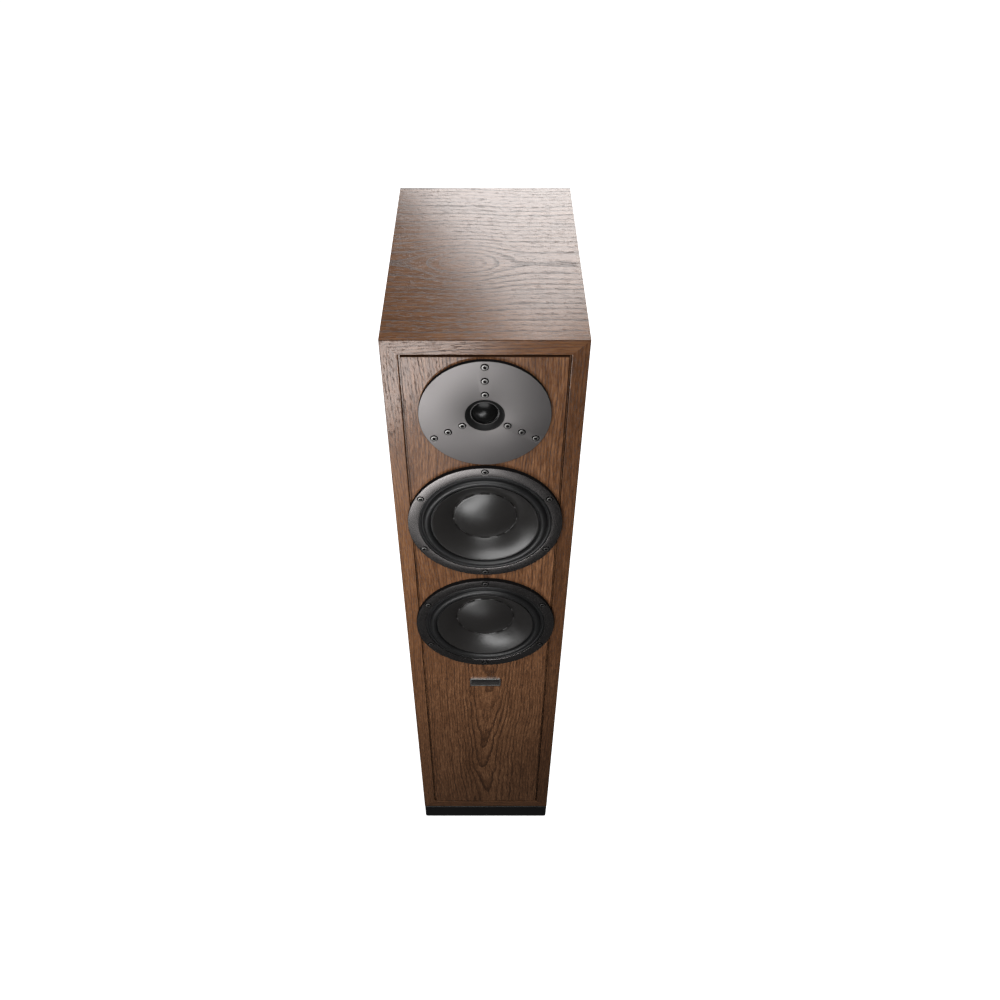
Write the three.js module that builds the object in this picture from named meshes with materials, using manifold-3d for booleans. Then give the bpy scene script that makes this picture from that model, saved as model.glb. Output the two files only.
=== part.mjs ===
// A slim floorstanding loudspeaker: a 28 mm dome tweeter and two 18 cm woofers in a veneered cabinet on a black plinth.
// Millimetres, +Z up. The front faces -Y. The origin is on the floor, under the middle of the whole speaker.
import * as THREE from "three";
import { mergeVertices } from "three/addons/utils/BufferGeometryUtils.js";
import Module from "manifold-3d";

const wasm = await Module();
wasm.setup();

// Cabinet
const CABINET_WIDTH = 208;
const CABINET_DEPTH = 320;
const CABINET_HEIGHT = 961.5;
const PANEL = 19;
const GAP = 0.3; // clearance kept between faces that meet
const FRAME_WIDTH = 17.6;
const FRAME_DEPTH = 25;
const GROOVE_WIDTH = 2.2;
const GROOVE_DEPTH = 4;

// Plinth and feet
const FOOT_HEIGHT = 10; // floor to the plinth's underside, feet wound right in
const PLINTH_HEIGHT = 33.5;
const SHADOW_GAP = 3; // the recessed step between plinth and cabinet
const SHADOW_INSET = 6;
const PLINTH_CORNER = 3;
const FOOT_INSET = 24;
const PAD_RADIUS = 17;
const PAD_HEIGHT = 5;
const PAD_SOCKET_DEPTH = 2.5;
const STUD_RADIUS = 4; // M8
const STUD_TOP = 38;
const STUD_WHEEL_RADIUS = 10;
const STUD_WHEEL_HEIGHT = 3;
const STUD_BORE_TOP = 40;

// Where the drivers and the badge sit, below the top of the cabinet
const TWEETER_DROP = 91.9;
const UPPER_WOOFER_DROP = 256;
const LOWER_WOOFER_DROP = 447.9;
const BADGE_DROP = 586;

// Tweeter, its depths counted from the front of the baffle
const TWEETER_HOLE_RADIUS = 54;
const TWEETER_PLATE_RADIUS = 69.6;
const TWEETER_PLATE_PROUD = 4.1;
const TWEETER_SPIGOT_DEPTH = 8;
const TWEETER_SCREW_CIRCLES = [27.5, 45, 62.5];
const TWEETER_SCREW_ANGLES = [90, 210, 330];
const FLARE_RADIUS = 21;
const FLARE_MOUTH_RADIUS = 15.4;
const DOME_RADIUS = 14;
const DOME_BASE = 1.6;
const DOME_HEIGHT = 6.2;
const DOME_SKIN = 0.6;

// Woofers, their depths counted from the front of the baffle
const WOOFER_HOLE_RADIUS = 75;
const FLANGE_RADIUS = 90;
const FLANGE_INNER_RADIUS = 77.8;
const FLANGE_PROUD = 5.2;
const SURROUND_CREST = 8.6;
const WOOFER_SCREW_CIRCLE = 84.3;
const WOOFER_SCREW_ANGLES = [30, 90, 150, 210, 270, 330];
const CONE_EDGE_RADIUS = 61.3;
const CONE_RIM_RADIUS = 63.4;
const CONE_EDGE = -5;
const CONE_NECK_RADIUS = 37.4;
const CONE_NECK = 9.4;
const CONE_DOME_TOP = 1.7;
const CONE_SKIN = 1.2;
const COIL_RADII = [36.6, 38.4];
const MAGNET_GAP_RADII = [35.4, 39.6];
const MOTOR_RADIUS = 47;
const BASKET_WINDOWS = 6;

// Screws
const HEAD_RADIUS = 3.3;
const HEAD_HEIGHT = 3.3; // deeper than its counterbore, so each head stands a little proud
const SHANK_RADIUS = 1.8;
const COUNTERBORE_RADIUS = 4.3;
const COUNTERBORE_DEPTH = 2.6;
const SCREW_HOLE_RADIUS = 2.1;
const HEX_RADIUS = 1.75;
const HEX_DEPTH = 1.3;

// Back of the cabinet
const PORT_HEIGHT = 300; // above the floor
const PORT_BORE_RADIUS = 33;
const PORT_LENGTH = 140;
const PORT_WALL = 3;
const PORT_RIM_RADIUS = 52;
const PORT_MOUTH_RADIUS = 44;
const PORT_HOLE_RADIUS = 46.5;
const REAR_PLATE = 3;
const TERMINAL_HEIGHT = 130;
const TERMINAL_PLATE = [110, 70];
const TERMINAL_CUTOUT = [86, 46];
const TERMINAL_SCREW_INSET = 7;
const POST_SPACING = 38;
const POST_RADIUS = 4;
const POST_REACH = 22; // back of the cabinet to the ends of the knobs

// Inside and badge
const BRACE_DROPS = [163, 352]; // middle of each window brace, below the top
const BRACE_THICKNESS = 18;
const BRACE_RAIL = 22;
const CROSSOVER_BOARD = [120, 90, 4];
const CROSSOVER_Y = 40;
const BADGE_SIZE = [43, 17.5, 1.6];
const BADGE_CORNER = 1.5;

// Facets round a full turn
const ROUND = 48;
const SMALL_ROUND = 16;
const TINY_ROUND = 8;

const HALF_WIDTH = CABINET_WIDTH / 2;
const CABINET_BOTTOM = FOOT_HEIGHT + PLINTH_HEIGHT + SHADOW_GAP;
const CABINET_TOP = CABINET_BOTTOM + CABINET_HEIGHT;
const FRONT_Y = (SURROUND_CREST - CABINET_DEPTH - POST_REACH) / 2;
const BACK_Y = FRONT_Y + CABINET_DEPTH;
const MIDDLE_Y = (FRONT_Y + BACK_Y) / 2;
const CARCASS_FRONT_Y = FRONT_Y + FRAME_DEPTH + GAP;

const material = (color, roughness, metalness = 0) =>
  new THREE.MeshStandardMaterial({ color, roughness, metalness });

// ---- Shape helpers

// A solid turned about the Y axis from [radius, y] points. A profile off the axis is closed on itself.
function turned(profile, facets = ROUND) {
  const closed = profile.some(([radius]) => radius === 0) ? profile : [...profile, profile[0]];
  const outline = closed.map(([radius, y]) => new THREE.Vector2(radius, y));
  if (THREE.ShapeUtils.area(outline) < 0) outline.reverse();
  return new THREE.LatheGeometry(outline, facets);
}

// A solid turned about the Z axis from [radius, z] points.
const turnedUpright = (profile, facets = SMALL_ROUND) =>
  turned(profile, facets).rotateX(Math.PI / 2);

function box(x, y, z) {
  return new THREE.BoxGeometry(x[1] - x[0], y[1] - y[0], z[1] - z[0]).translate(
    (x[0] + x[1]) / 2,
    (y[0] + y[1]) / 2,
    (z[0] + z[1]) / 2,
  );
}

const rod = (radius, y, facets = TINY_ROUND) =>
  new THREE.CylinderGeometry(radius, radius, y[1] - y[0], facets).translate(0, (y[0] + y[1]) / 2, 0);

// A board with its outline in X and Z, and its faces at the two y values.
function board(outline, y) {
  const shape = new THREE.Shape(outline.map(([x, z]) => new THREE.Vector2(x, z)));
  return new THREE.ExtrudeGeometry(shape, { depth: y[1] - y[0], bevelEnabled: false })
    .rotateX(Math.PI / 2)
    .translate(0, y[1], 0);
}

// A rectangle with round corners, centred on the origin of its plane.
function roundedRectangle(width, height, radius) {
  const [x, y] = [width / 2 - radius, height / 2 - radius];
  const shape = new THREE.Shape();
  shape.absarc(x, y, radius, 0, Math.PI / 2);
  shape.absarc(-x, y, radius, Math.PI / 2, Math.PI);
  shape.absarc(-x, -y, radius, Math.PI, 1.5 * Math.PI);
  shape.absarc(x, -y, radius, 1.5 * Math.PI, 2 * Math.PI);
  return shape;
}

// A flat plate with round corners, upright, with its faces at the two y values.
function plate([width, height], corner, y) {
  const shape = roundedRectangle(width, height, corner);
  return new THREE.ExtrudeGeometry(shape, { depth: y[1] - y[0], bevelEnabled: false, curveSegments: 3 })
    .rotateX(Math.PI / 2)
    .translate(0, y[1], 0);
}

function toSolid(geometry) {
  const bare = geometry.clone();
  bare.deleteAttribute("normal");
  bare.deleteAttribute("uv");
  const merged = mergeVertices(bare, 1e-3);
  return new wasm.Manifold(
    new wasm.Mesh({
      numProp: 3,
      vertProperties: merged.attributes.position.array,
      triVerts: new Uint32Array(merged.index.array),
    }),
  );
}

function toGeometry(solid) {
  const { vertProperties, triVerts } = solid.getMesh();
  return new THREE.BufferGeometry()
    .setAttribute("position", new THREE.BufferAttribute(vertProperties, 3))
    .setIndex(new THREE.BufferAttribute(triVerts, 1));
}

function cut(body, tools) {
  return toGeometry(tools.reduce((solid, tool) => solid.subtract(toSolid(tool)), toSolid(body)));
}

function join(first, second) {
  return toGeometry(toSolid(first).add(toSolid(second)));
}

// [x, z] of a point at a radius and an angle, 90 degrees being the top.
function onCircle(radius, degrees) {
  const angle = THREE.MathUtils.degToRad(degrees);
  return [radius * Math.cos(angle), radius * Math.sin(angle)];
}

// Points of an arc-topped cap from the axis out to its edge, bulging towards -Y.
function cap(radius, edge, height, points) {
  const sphere = (radius ** 2 + height ** 2) / (2 * height);
  return Array.from({ length: points + 1 }, (_, i) => {
    const r = (radius * i) / points;
    return [r, edge - height + sphere - Math.sqrt(sphere ** 2 - r ** 2)];
  });
}

function add(group, name, geometry, finish) {
  const mesh = new THREE.Mesh(geometry, finish);
  mesh.name = name;
  group.add(mesh);
  return mesh;
}

function groupAt(parent, x, y, z) {
  const group = new THREE.Group();
  group.position.set(x, y, z);
  parent.add(group);
  return group;
}

// ---- Cabinet

const walnut = () => material(0x6b5140, 0.5);

// The four mitred boards of a rectangular hoop, outer faces on the cabinet's sides.
function mitredHoop(thickness, y) {
  const [outerX, innerX] = [HALF_WIDTH, HALF_WIDTH - thickness];
  const [top, bottom] = [CABINET_TOP, CABINET_BOTTOM];
  const side = (sign) => [
    [sign * outerX, bottom],
    [sign * outerX, top],
    [sign * innerX, top - thickness],
    [sign * innerX, bottom + thickness],
  ];
  const level = (z, inner) => [
    [-outerX + GAP, z],
    [outerX - GAP, z],
    [innerX - GAP, inner],
    [-innerX + GAP, inner],
  ];
  return {
    left: board(side(-1), y),
    right: board(side(1), y),
    top: board(level(top, top - thickness), y),
    bottom: board(level(bottom, bottom + thickness), y),
  };
}

function addCarcass(group) {
  const panels = mitredHoop(PANEL, [CARCASS_FRONT_Y, BACK_Y]);
  add(group, "top_panel", panels.top, walnut());
  add(group, "bottom_panel", panels.bottom, walnut());
  add(group, "left_side_panel", panels.left, walnut());
  add(group, "right_side_panel", panels.right, walnut());
  const frame = mitredHoop(FRAME_WIDTH, [FRONT_Y, FRONT_Y + FRAME_DEPTH]);
  add(group, "frame_top_rail", frame.top, walnut());
  add(group, "frame_bottom_rail", frame.bottom, walnut());
  add(group, "frame_left_stile", frame.left, walnut());
  add(group, "frame_right_stile", frame.right, walnut());
}

function addBackPanel(group) {
  const inner = PANEL + GAP;
  const panel = box(
    [-HALF_WIDTH + inner, HALF_WIDTH - inner],
    [BACK_Y - PANEL, BACK_Y],
    [CABINET_BOTTOM + inner, CABINET_TOP - inner],
  );
  const through = [BACK_Y - PANEL - 1, BACK_Y + 1];
  const portHole = rod(PORT_HOLE_RADIUS, through, ROUND).translate(0, 0, PORT_HEIGHT);
  const [cutoutWidth, cutoutHeight] = TERMINAL_CUTOUT.map((side) => side / 2);
  const terminalHole = box(
    [-cutoutWidth, cutoutWidth],
    through,
    [TERMINAL_HEIGHT - cutoutHeight, TERMINAL_HEIGHT + cutoutHeight],
  );
  add(group, "back_panel", cut(panel, [portHole, terminalHole]), walnut());
}

// Holes of one driver in the baffle: the opening, and a pilot hole for each screw.
function driverHoles(drop, radius, circle, angles) {
  const z = CABINET_TOP - drop;
  const through = [FRONT_Y - 1, FRONT_Y + FRAME_DEPTH + 1];
  const pilots = angles.map((angle) => {
    const [x, up] = onCircle(circle, angle);
    return rod(SCREW_HOLE_RADIUS, [FRONT_Y - 1, FRONT_Y + FRAME_DEPTH - 5], 8).translate(x, 0, z + up);
  });
  return [rod(radius, through, ROUND).translate(0, 0, z), ...pilots];
}

function addBaffle(group) {
  const block = (inset, y) =>
    box(
      [-HALF_WIDTH + inset, HALF_WIDTH - inset],
      y,
      [CABINET_BOTTOM + inset, CABINET_TOP - inset],
    );
  const shoulder = block(FRAME_WIDTH + GAP, [FRONT_Y + GROOVE_DEPTH, FRONT_Y + FRAME_DEPTH]);
  const face = block(FRAME_WIDTH + GROOVE_WIDTH, [FRONT_Y, FRONT_Y + GROOVE_DEPTH + 1]);
  const plain = join(shoulder, face);
  const holes = [
    ...driverHoles(TWEETER_DROP, TWEETER_HOLE_RADIUS, TWEETER_SCREW_CIRCLES.at(-1), TWEETER_SCREW_ANGLES),
    ...driverHoles(UPPER_WOOFER_DROP, WOOFER_HOLE_RADIUS, WOOFER_SCREW_CIRCLE, WOOFER_SCREW_ANGLES),
    ...driverHoles(LOWER_WOOFER_DROP, WOOFER_HOLE_RADIUS, WOOFER_SCREW_CIRCLE, WOOFER_SCREW_ANGLES),
  ];
  add(group, "front_baffle", cut(plain, holes), walnut());
}

// A level board across the inside, with four windows for the air.
function addBrace(group, name, drop) {
  const halfInner = HALF_WIDTH - PANEL - GAP;
  const z = CABINET_TOP - drop;
  const y = [CARCASS_FRONT_Y, BACK_Y - PANEL - GAP];
  const middle = (y[0] + y[1]) / 2;
  const full = box([-halfInner, halfInner], y, [z - BRACE_THICKNESS / 2, z + BRACE_THICKNESS / 2]);
  const window = (side, end) => {
    const x = [BRACE_RAIL / 2, halfInner - BRACE_RAIL].map((edge) => side * edge);
    const run = end < 0 ? [y[0] + BRACE_RAIL, middle - BRACE_RAIL / 2] : [middle + BRACE_RAIL / 2, y[1] - BRACE_RAIL];
    return box(x.sort((a, b) => a - b), run, [z - BRACE_THICKNESS, z + BRACE_THICKNESS]);
  };
  const windows = [-1, 1].flatMap((side) => [-1, 1].map((end) => window(side, end)));
  add(group, name, cut(full, windows), material(0xb59a74, 0.8));
}

// ---- Plinth and feet

function addPlinth(group, footPlaces) {
  const slab = (inset, z) =>
    new THREE.ExtrudeGeometry(
      roundedRectangle(CABINET_WIDTH - 2 * inset, CABINET_DEPTH - 2 * inset, PLINTH_CORNER),
      { depth: z[1] - z[0], bevelEnabled: false, curveSegments: 4 },
    ).translate(0, MIDDLE_Y, z[0]);
  const plinthTop = FOOT_HEIGHT + PLINTH_HEIGHT;
  const step = slab(SHADOW_INSET, [plinthTop - 1, CABINET_BOTTOM - GAP]);
  const plain = join(slab(0, [FOOT_HEIGHT, plinthTop]), step);
  const bores = footPlaces.map(({ x, y }) =>
    rod(STUD_RADIUS + GAP, [FOOT_HEIGHT - 1, STUD_BORE_TOP], SMALL_ROUND)
      .rotateX(Math.PI / 2)
      .translate(x, y, 0),
  );
  add(group, "plinth", cut(plain, bores), material(0x141414, 0.45));
}

// One levelling foot: a pad that doesn't turn, and the threaded stud with a finger wheel that turns in the plinth.
function addFoot(group, { place, x, y }) {
  const foot = groupAt(group, x, y, 0);
  const socketFloor = PAD_HEIGHT - PAD_SOCKET_DEPTH;
  const socket = STUD_RADIUS + GAP;
  const pad = [
    [0, 0],
    [PAD_RADIUS - 1, 0],
    [PAD_RADIUS, 1],
    [PAD_RADIUS, PAD_HEIGHT],
    [socket, PAD_HEIGHT],
    [socket, socketFloor],
    [0, socketFloor],
  ];
  add(foot, `${place}_foot_pad`, turnedUpright(pad), material(0x1a1a1a, 0.8));
  const wheelBottom = PAD_HEIGHT + GAP;
  const wheelTop = wheelBottom + STUD_WHEEL_HEIGHT;
  const stud = [
    [0, socketFloor + GAP],
    [STUD_RADIUS, socketFloor + GAP],
    [STUD_RADIUS, wheelBottom],
    [STUD_WHEEL_RADIUS, wheelBottom],
    [STUD_WHEEL_RADIUS, wheelTop],
    [STUD_RADIUS, wheelTop],
    [STUD_RADIUS, STUD_TOP],
    [0, STUD_TOP],
  ];
  add(foot, `${place}_foot_stud`, turnedUpright(stud, TINY_ROUND), material(0x8f9194, 0.35, 1));
}

// ---- Screws

// A cap screw along +Y, its shank starting under the head and ending at depth.
function screw(headTop, depth) {
  const seat = headTop + HEAD_HEIGHT;
  const body = [
    [0, headTop],
    [HEAD_RADIUS, headTop],
    [HEAD_RADIUS, seat],
    [SHANK_RADIUS, seat],
    [SHANK_RADIUS, depth],
    [0, depth],
  ];
  const socket = rod(HEX_RADIUS, [headTop - 1, headTop + HEX_DEPTH], 6);
  return cut(turned(body, TINY_ROUND), [socket]);
}

// Counterbore and hole for a screw whose head is sunk into a face at y.
function screwSeat(y, depth, [x, z]) {
  return [
    rod(COUNTERBORE_RADIUS, [y - 1, y + COUNTERBORE_DEPTH]).translate(x, 0, z),
    rod(SCREW_HOLE_RADIUS, [y, depth], 8).translate(x, 0, z),
  ];
}

// ---- Tweeter

function addTweeter(group) {
  const face = -TWEETER_PLATE_PROUD;
  const tweeter = groupAt(group, 0, FRONT_Y, CABINET_TOP - TWEETER_DROP);
  const cavity = FLARE_RADIUS + 3;
  const spigot = TWEETER_HOLE_RADIUS - GAP;
  const faceplate = [
    [FLARE_RADIUS, face],
    [TWEETER_PLATE_RADIUS - 1, face],
    [TWEETER_PLATE_RADIUS, face + 1],
    [TWEETER_PLATE_RADIUS, -GAP],
    [spigot, -GAP],
    [spigot, TWEETER_SPIGOT_DEPTH],
    [cavity, TWEETER_SPIGOT_DEPTH],
    [cavity, 1.2],
    [FLARE_RADIUS, 1.2],
  ];
  const [inner, middle, outer] = TWEETER_SCREW_CIRCLES;
  const screwDepth = { [inner]: 6, [middle]: 6, [outer]: 18 };
  const places = TWEETER_SCREW_CIRCLES.flatMap((circle) =>
    TWEETER_SCREW_ANGLES.map((angle) => ({ at: onCircle(circle, angle), depth: screwDepth[circle] })),
  );
  const seats = places.flatMap(({ at, depth }) => screwSeat(face, depth + 0.5, at));
  add(tweeter, "tweeter_faceplate", cut(turned(faceplate), seats), material(0x8a8784, 0.42, 1));
  const headTop = face + COUNTERBORE_DEPTH - HEAD_HEIGHT - GAP;
  places.forEach(({ at: [x, z], depth }, i) => {
    const fastener = add(
      tweeter,
      `tweeter_screw_${i + 1}`,
      screw(headTop, depth),
      material(0x4a4a4c, 0.4, 1),
    );
    fastener.position.set(x, 0, z);
  });

  const flare = [
    [FLARE_RADIUS - GAP, face + 0.1],
    [FLARE_MOUTH_RADIUS + 1.8, face + 2.2],
    [FLARE_MOUTH_RADIUS, face + 3.7],
    [FLARE_MOUTH_RADIUS, 0.4],
    [FLARE_MOUTH_RADIUS + 2.6, 0.6],
    [FLARE_MOUTH_RADIUS + 2.6, 3.4],
    [cavity - GAP, 3.4],
    [cavity - GAP, 1.5],
    [FLARE_RADIUS - GAP, 1.5],
  ];
  add(tweeter, "tweeter_flare_ring", turned(flare), material(0x121212, 0.5));

  // The dome and the small half roll around it are one pressing.
  const roll = [
    [DOME_RADIUS + 1.5, DOME_BASE - 0.2],
    [DOME_RADIUS + 3, DOME_BASE + 0.2],
  ];
  const front = [...cap(DOME_RADIUS, DOME_BASE, DOME_HEIGHT, 4), ...roll];
  const back = front.map(([radius, y]) => [radius, y + DOME_SKIN]).reverse();
  const diaphragm = turned([...front, ...back], SMALL_ROUND);
  add(tweeter, "tweeter_diaphragm", diaphragm, material(0x101012, 0.6));

  const coilOuter = DOME_RADIUS - 0.1;
  const coil = [
    [coilOuter - 0.7, 2.6],
    [coilOuter, 2.6],
    [coilOuter, 11],
    [coilOuter - 0.7, 11],
  ];
  add(tweeter, "tweeter_voice_coil", turned(coil, SMALL_ROUND), material(0xb06a3c, 0.4, 1));

  const motorFront = TWEETER_SPIGOT_DEPTH + GAP;
  const motor = [
    [0, motorFront],
    [DOME_RADIUS - 1.6, motorFront],
    [DOME_RADIUS - 1.6, motorFront + 5.2],
    [DOME_RADIUS + 0.7, motorFront + 5.2],
    [DOME_RADIUS + 0.7, motorFront],
    [34, motorFront],
    [34, 24],
    [0, 24],
  ];
  add(tweeter, "tweeter_motor", turned(motor, SMALL_ROUND), material(0x3a3a3e, 0.5, 1));

  const chamber = [
    [0, 55],
    [29, 55],
    [29, 24 + GAP],
    [32, 24 + GAP],
    [32, 58],
    [0, 58],
  ];
  add(tweeter, "tweeter_rear_chamber", turned(chamber, SMALL_ROUND), material(0x1c1c1e, 0.6));
}

// ---- Woofers

function basketGeometry() {
  const face = -FLANGE_PROUD;
  const profile = [
    [FLANGE_INNER_RADIUS, face],
    [FLANGE_RADIUS - 1.2, face],
    [FLANGE_RADIUS, face + 1],
    [FLANGE_RADIUS, -GAP],
    [74.4, -GAP],
    [74.4, 12],
    [69.5, 24],
    [56, 58],
    [MOTOR_RADIUS + GAP, 58],
    [MOTOR_RADIUS + GAP, 54.8],
    [51.6, 54.8],
    [62.8, 23.6],
    [62.8, 21.2],
    [67.2, 21.2],
    [71.4, 12],
    [71.4, face + 2],
    [FLANGE_INNER_RADIUS, face + 2],
  ];
  const windows = Array.from({ length: BASKET_WINDOWS }, (_, i) =>
    new THREE.BoxGeometry(40, 23, 40)
      .translate(0, 39, 66)
      .rotateY((2 * Math.PI * i) / BASKET_WINDOWS),
  );
  const seats = WOOFER_SCREW_ANGLES.flatMap((angle) =>
    screwSeat(face, 0, onCircle(WOOFER_SCREW_CIRCLE, angle)),
  );
  return cut(turned(profile), [...windows, ...seats]);
}

// The half roll from the cone's rim to its seat on the basket.
function surroundGeometry() {
  const skin = 0.9;
  const rollFrom = { radius: CONE_RIM_RADIUS + 0.2, y: CONE_EDGE - GAP - skin };
  const rollTo = { radius: 72.6, y: -FLANGE_PROUD + 2 - 0.4 - skin };
  const height = SURROUND_CREST + (rollFrom.y + rollTo.y) / 2;
  const steps = 4;
  const bow = (offset) =>
    Array.from({ length: steps + 1 }, (_, i) => {
      const turn = (Math.PI * i) / steps;
      const across = (1 - Math.cos(turn)) / 2;
      const radius = THREE.MathUtils.lerp(rollFrom.radius + offset, rollTo.radius - offset, across);
      const base = THREE.MathUtils.lerp(rollFrom.y, rollTo.y, i / steps) + offset;
      return [radius, base - (height - offset) * Math.sin(turn)];
    });
  const innerLip = CONE_EDGE_RADIUS + 0.3;
  const outerLip = FLANGE_INNER_RADIUS - GAP;
  return turned([
    [innerLip, rollFrom.y],
    ...bow(0),
    [outerLip, rollTo.y],
    [outerLip, rollTo.y + skin],
    ...bow(skin).reverse(),
    [innerLip, rollFrom.y + skin],
  ]);
}

// The cone and its centre dome are one pressing.
function coneGeometry() {
  const front = [
    ...cap(CONE_NECK_RADIUS, CONE_NECK, CONE_NECK - CONE_DOME_TOP, 4),
    [CONE_EDGE_RADIUS, CONE_EDGE],
    [CONE_RIM_RADIUS, CONE_EDGE],
  ];
  const back = front.map(([radius, y]) => [radius, y + CONE_SKIN]).reverse();
  return turned([...front, ...back]);
}

// A corrugated disc from the coil to the ledge in the basket.
function spiderGeometry() {
  const skin = 0.8;
  const [inner, outer] = [COIL_RADII[1] + 0.4, 66.8];
  const steps = 6;
  const front = Array.from({ length: steps + 1 }, (_, i) => [
    THREE.MathUtils.lerp(inner, outer, i / steps),
    20.1 - (i % 2) * (i === steps ? 0 : 1.6),
  ]);
  const back = front.map(([radius, y]) => [radius, y + skin]).reverse();
  return turned([...front, ...back], SMALL_ROUND);
}

function motorGeometry() {
  const [gapInner, gapOuter] = MAGNET_GAP_RADII;
  const profile = [
    [0, 27],
    [gapInner, 27],
    [gapInner, 51.5],
    [gapOuter, 51.5],
    [gapOuter, 28],
    [MOTOR_RADIUS, 28],
    [MOTOR_RADIUS, 66],
    [0, 66],
  ];
  return turned(profile, SMALL_ROUND);
}

function addWoofer(group, name, drop) {
  const woofer = groupAt(group, 0, FRONT_Y, CABINET_TOP - drop);
  const [coilInner, coilOuter] = COIL_RADII;
  const coil = [
    [coilInner, 11],
    [coilOuter, 11],
    [coilOuter, 44],
    [coilInner, 44],
  ];
  add(woofer, `${name}_basket`, basketGeometry(), material(0x1d1d1f, 0.45, 0.6));
  add(woofer, `${name}_surround`, surroundGeometry(), material(0x141414, 0.6));
  add(woofer, `${name}_cone`, coneGeometry(), material(0x1b1b1d, 0.5));
  add(woofer, `${name}_voice_coil`, turned(coil, SMALL_ROUND), material(0xb8babd, 0.35, 1));
  add(woofer, `${name}_spider`, spiderGeometry(), material(0xb39a5a, 0.9));
  add(woofer, `${name}_motor`, motorGeometry(), material(0x3a3a3e, 0.5, 1));
}

// ---- Back: port, terminals

function addPort(group) {
  const rim = REAR_PLATE + GAP;
  const profile = [
    [PORT_BORE_RADIUS, -PORT_LENGTH],
    [PORT_BORE_RADIUS, -22],
    [PORT_BORE_RADIUS + 2, -12],
    [PORT_BORE_RADIUS + 6, -3],
    [PORT_MOUTH_RADIUS, rim],
    [PORT_RIM_RADIUS, rim],
    [PORT_RIM_RADIUS, GAP],
    [PORT_HOLE_RADIUS - GAP, GAP],
    [PORT_HOLE_RADIUS - GAP, -3],
    [PORT_BORE_RADIUS + PORT_WALL + 2, -16],
    [PORT_BORE_RADIUS + PORT_WALL, -24],
    [PORT_BORE_RADIUS + PORT_WALL, -PORT_LENGTH],
  ];
  const port = groupAt(group, 0, BACK_Y, PORT_HEIGHT);
  add(port, "port_tube", turned(profile), material(0x161616, 0.5));
}

function addTerminals(group) {
  const panel = groupAt(group, 0, BACK_Y, TERMINAL_HEIGHT);
  const face = GAP + REAR_PLATE;
  const corner = TERMINAL_PLATE.map((side) => side / 2 - TERMINAL_SCREW_INSET);
  const holes = [
    ...[-1, 1].map((side) => rod(POST_RADIUS + GAP, [-1, face + 1]).translate((side * POST_SPACING) / 2, 0, 0)),
    ...[-1, 1].flatMap((side) =>
      [-1, 1].map((end) => rod(SCREW_HOLE_RADIUS, [-1, face + 1], 8).translate(side * corner[0], 0, end * corner[1])),
    ),
  ];
  const backing = plate(TERMINAL_PLATE, 6, [GAP, face]);
  add(panel, "terminal_plate", cut(backing, holes), material(0x1a1a1c, 0.5));
  for (const [place, side] of [["left", -1], ["right", 1]]) {
    const post = groupAt(panel, (side * POST_SPACING) / 2, 0, 0);
    const collar = face + GAP;
    const stem = [
      [0, -18],
      [POST_RADIUS, -18],
      [POST_RADIUS, collar],
      [8, collar],
      [8, collar + 3],
      [3, collar + 3],
      [3, 16],
      [0, 16],
    ];
    add(post, `${place}_post_stem`, turned(stem, TINY_ROUND), material(0xc9a24a, 0.25, 1));
    const ring = [
      [3.3, 6.9],
      [8.5, 6.9],
      [8.5, 9.4],
      [3.3, 9.4],
    ];
    add(post, `${place}_post_clamp_ring`, turned(ring, SMALL_ROUND), material(0xc9a24a, 0.25, 1));
    const knob = [
      [3.3, 9.7],
      [9, 9.7],
      [9, POST_REACH - 1],
      [8, POST_REACH],
      [2, POST_REACH],
      [2, 18],
      [3.3, 18],
    ];
    add(post, `${place}_post_knob`, turned(knob, SMALL_ROUND), material(side < 0 ? 0x8c1a1a : 0x161616, 0.35));
  }
}

// ---- Crossover and badge

function addCrossover(group) {
  const [width, depth, thickness] = CROSSOVER_BOARD;
  const floor = CABINET_BOTTOM + PANEL + GAP;
  const top = floor + thickness + GAP;
  const base = box([-width / 2, width / 2], [CROSSOVER_Y - depth / 2, CROSSOVER_Y + depth / 2], [floor, floor + thickness]);
  add(group, "crossover_board", base, material(0x5b4a30, 0.8));
  const winding = [
    [11, 0],
    [26, 0],
    [26, 24],
    [11, 24],
  ];
  const inductor = add(group, "crossover_inductor", turnedUpright(winding), material(0xa8653a, 0.4, 1));
  inductor.position.set(-28, CROSSOVER_Y, top);
  const capacitorRadius = 13;
  const capacitor = add(
    group,
    "crossover_capacitor",
    rod(capacitorRadius, [-26, 26], SMALL_ROUND),
    material(0x2b2f5c, 0.5),
  );
  capacitor.position.set(32, CROSSOVER_Y, top + capacitorRadius);
}

function addBadge(group) {
  const [width, height, thickness] = BADGE_SIZE;
  const badge = plate([width, height], BADGE_CORNER, [-GAP - thickness, -GAP]);
  const mesh = add(group, "badge_plate", badge, material(0xb4b2ae, 0.35, 1));
  mesh.position.set(0, FRONT_Y, CABINET_TOP - BADGE_DROP);
}

// ---- The whole speaker

function footPlaces() {
  const x = HALF_WIDTH - FOOT_INSET;
  const [front, back] = [FRONT_Y + FOOT_INSET, BACK_Y - FOOT_INSET];
  return [
    { place: "front_left", x: -x, y: front },
    { place: "front_right", x, y: front },
    { place: "back_left", x: -x, y: back },
    { place: "back_right", x, y: back },
  ];
}

const speaker = new THREE.Group();
addCarcass(speaker);
addBackPanel(speaker);
addBaffle(speaker);
addBrace(speaker, "upper_brace", BRACE_DROPS[0]);
addBrace(speaker, "lower_brace", BRACE_DROPS[1]);
addPlinth(speaker, footPlaces());
footPlaces().forEach((foot) => addFoot(speaker, foot));
addTweeter(speaker);
addWoofer(speaker, "upper_woofer", UPPER_WOOFER_DROP);
addWoofer(speaker, "lower_woofer", LOWER_WOOFER_DROP);
addPort(speaker);
addTerminals(speaker);
addCrossover(speaker);
addBadge(speaker);

export default speaker;
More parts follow.
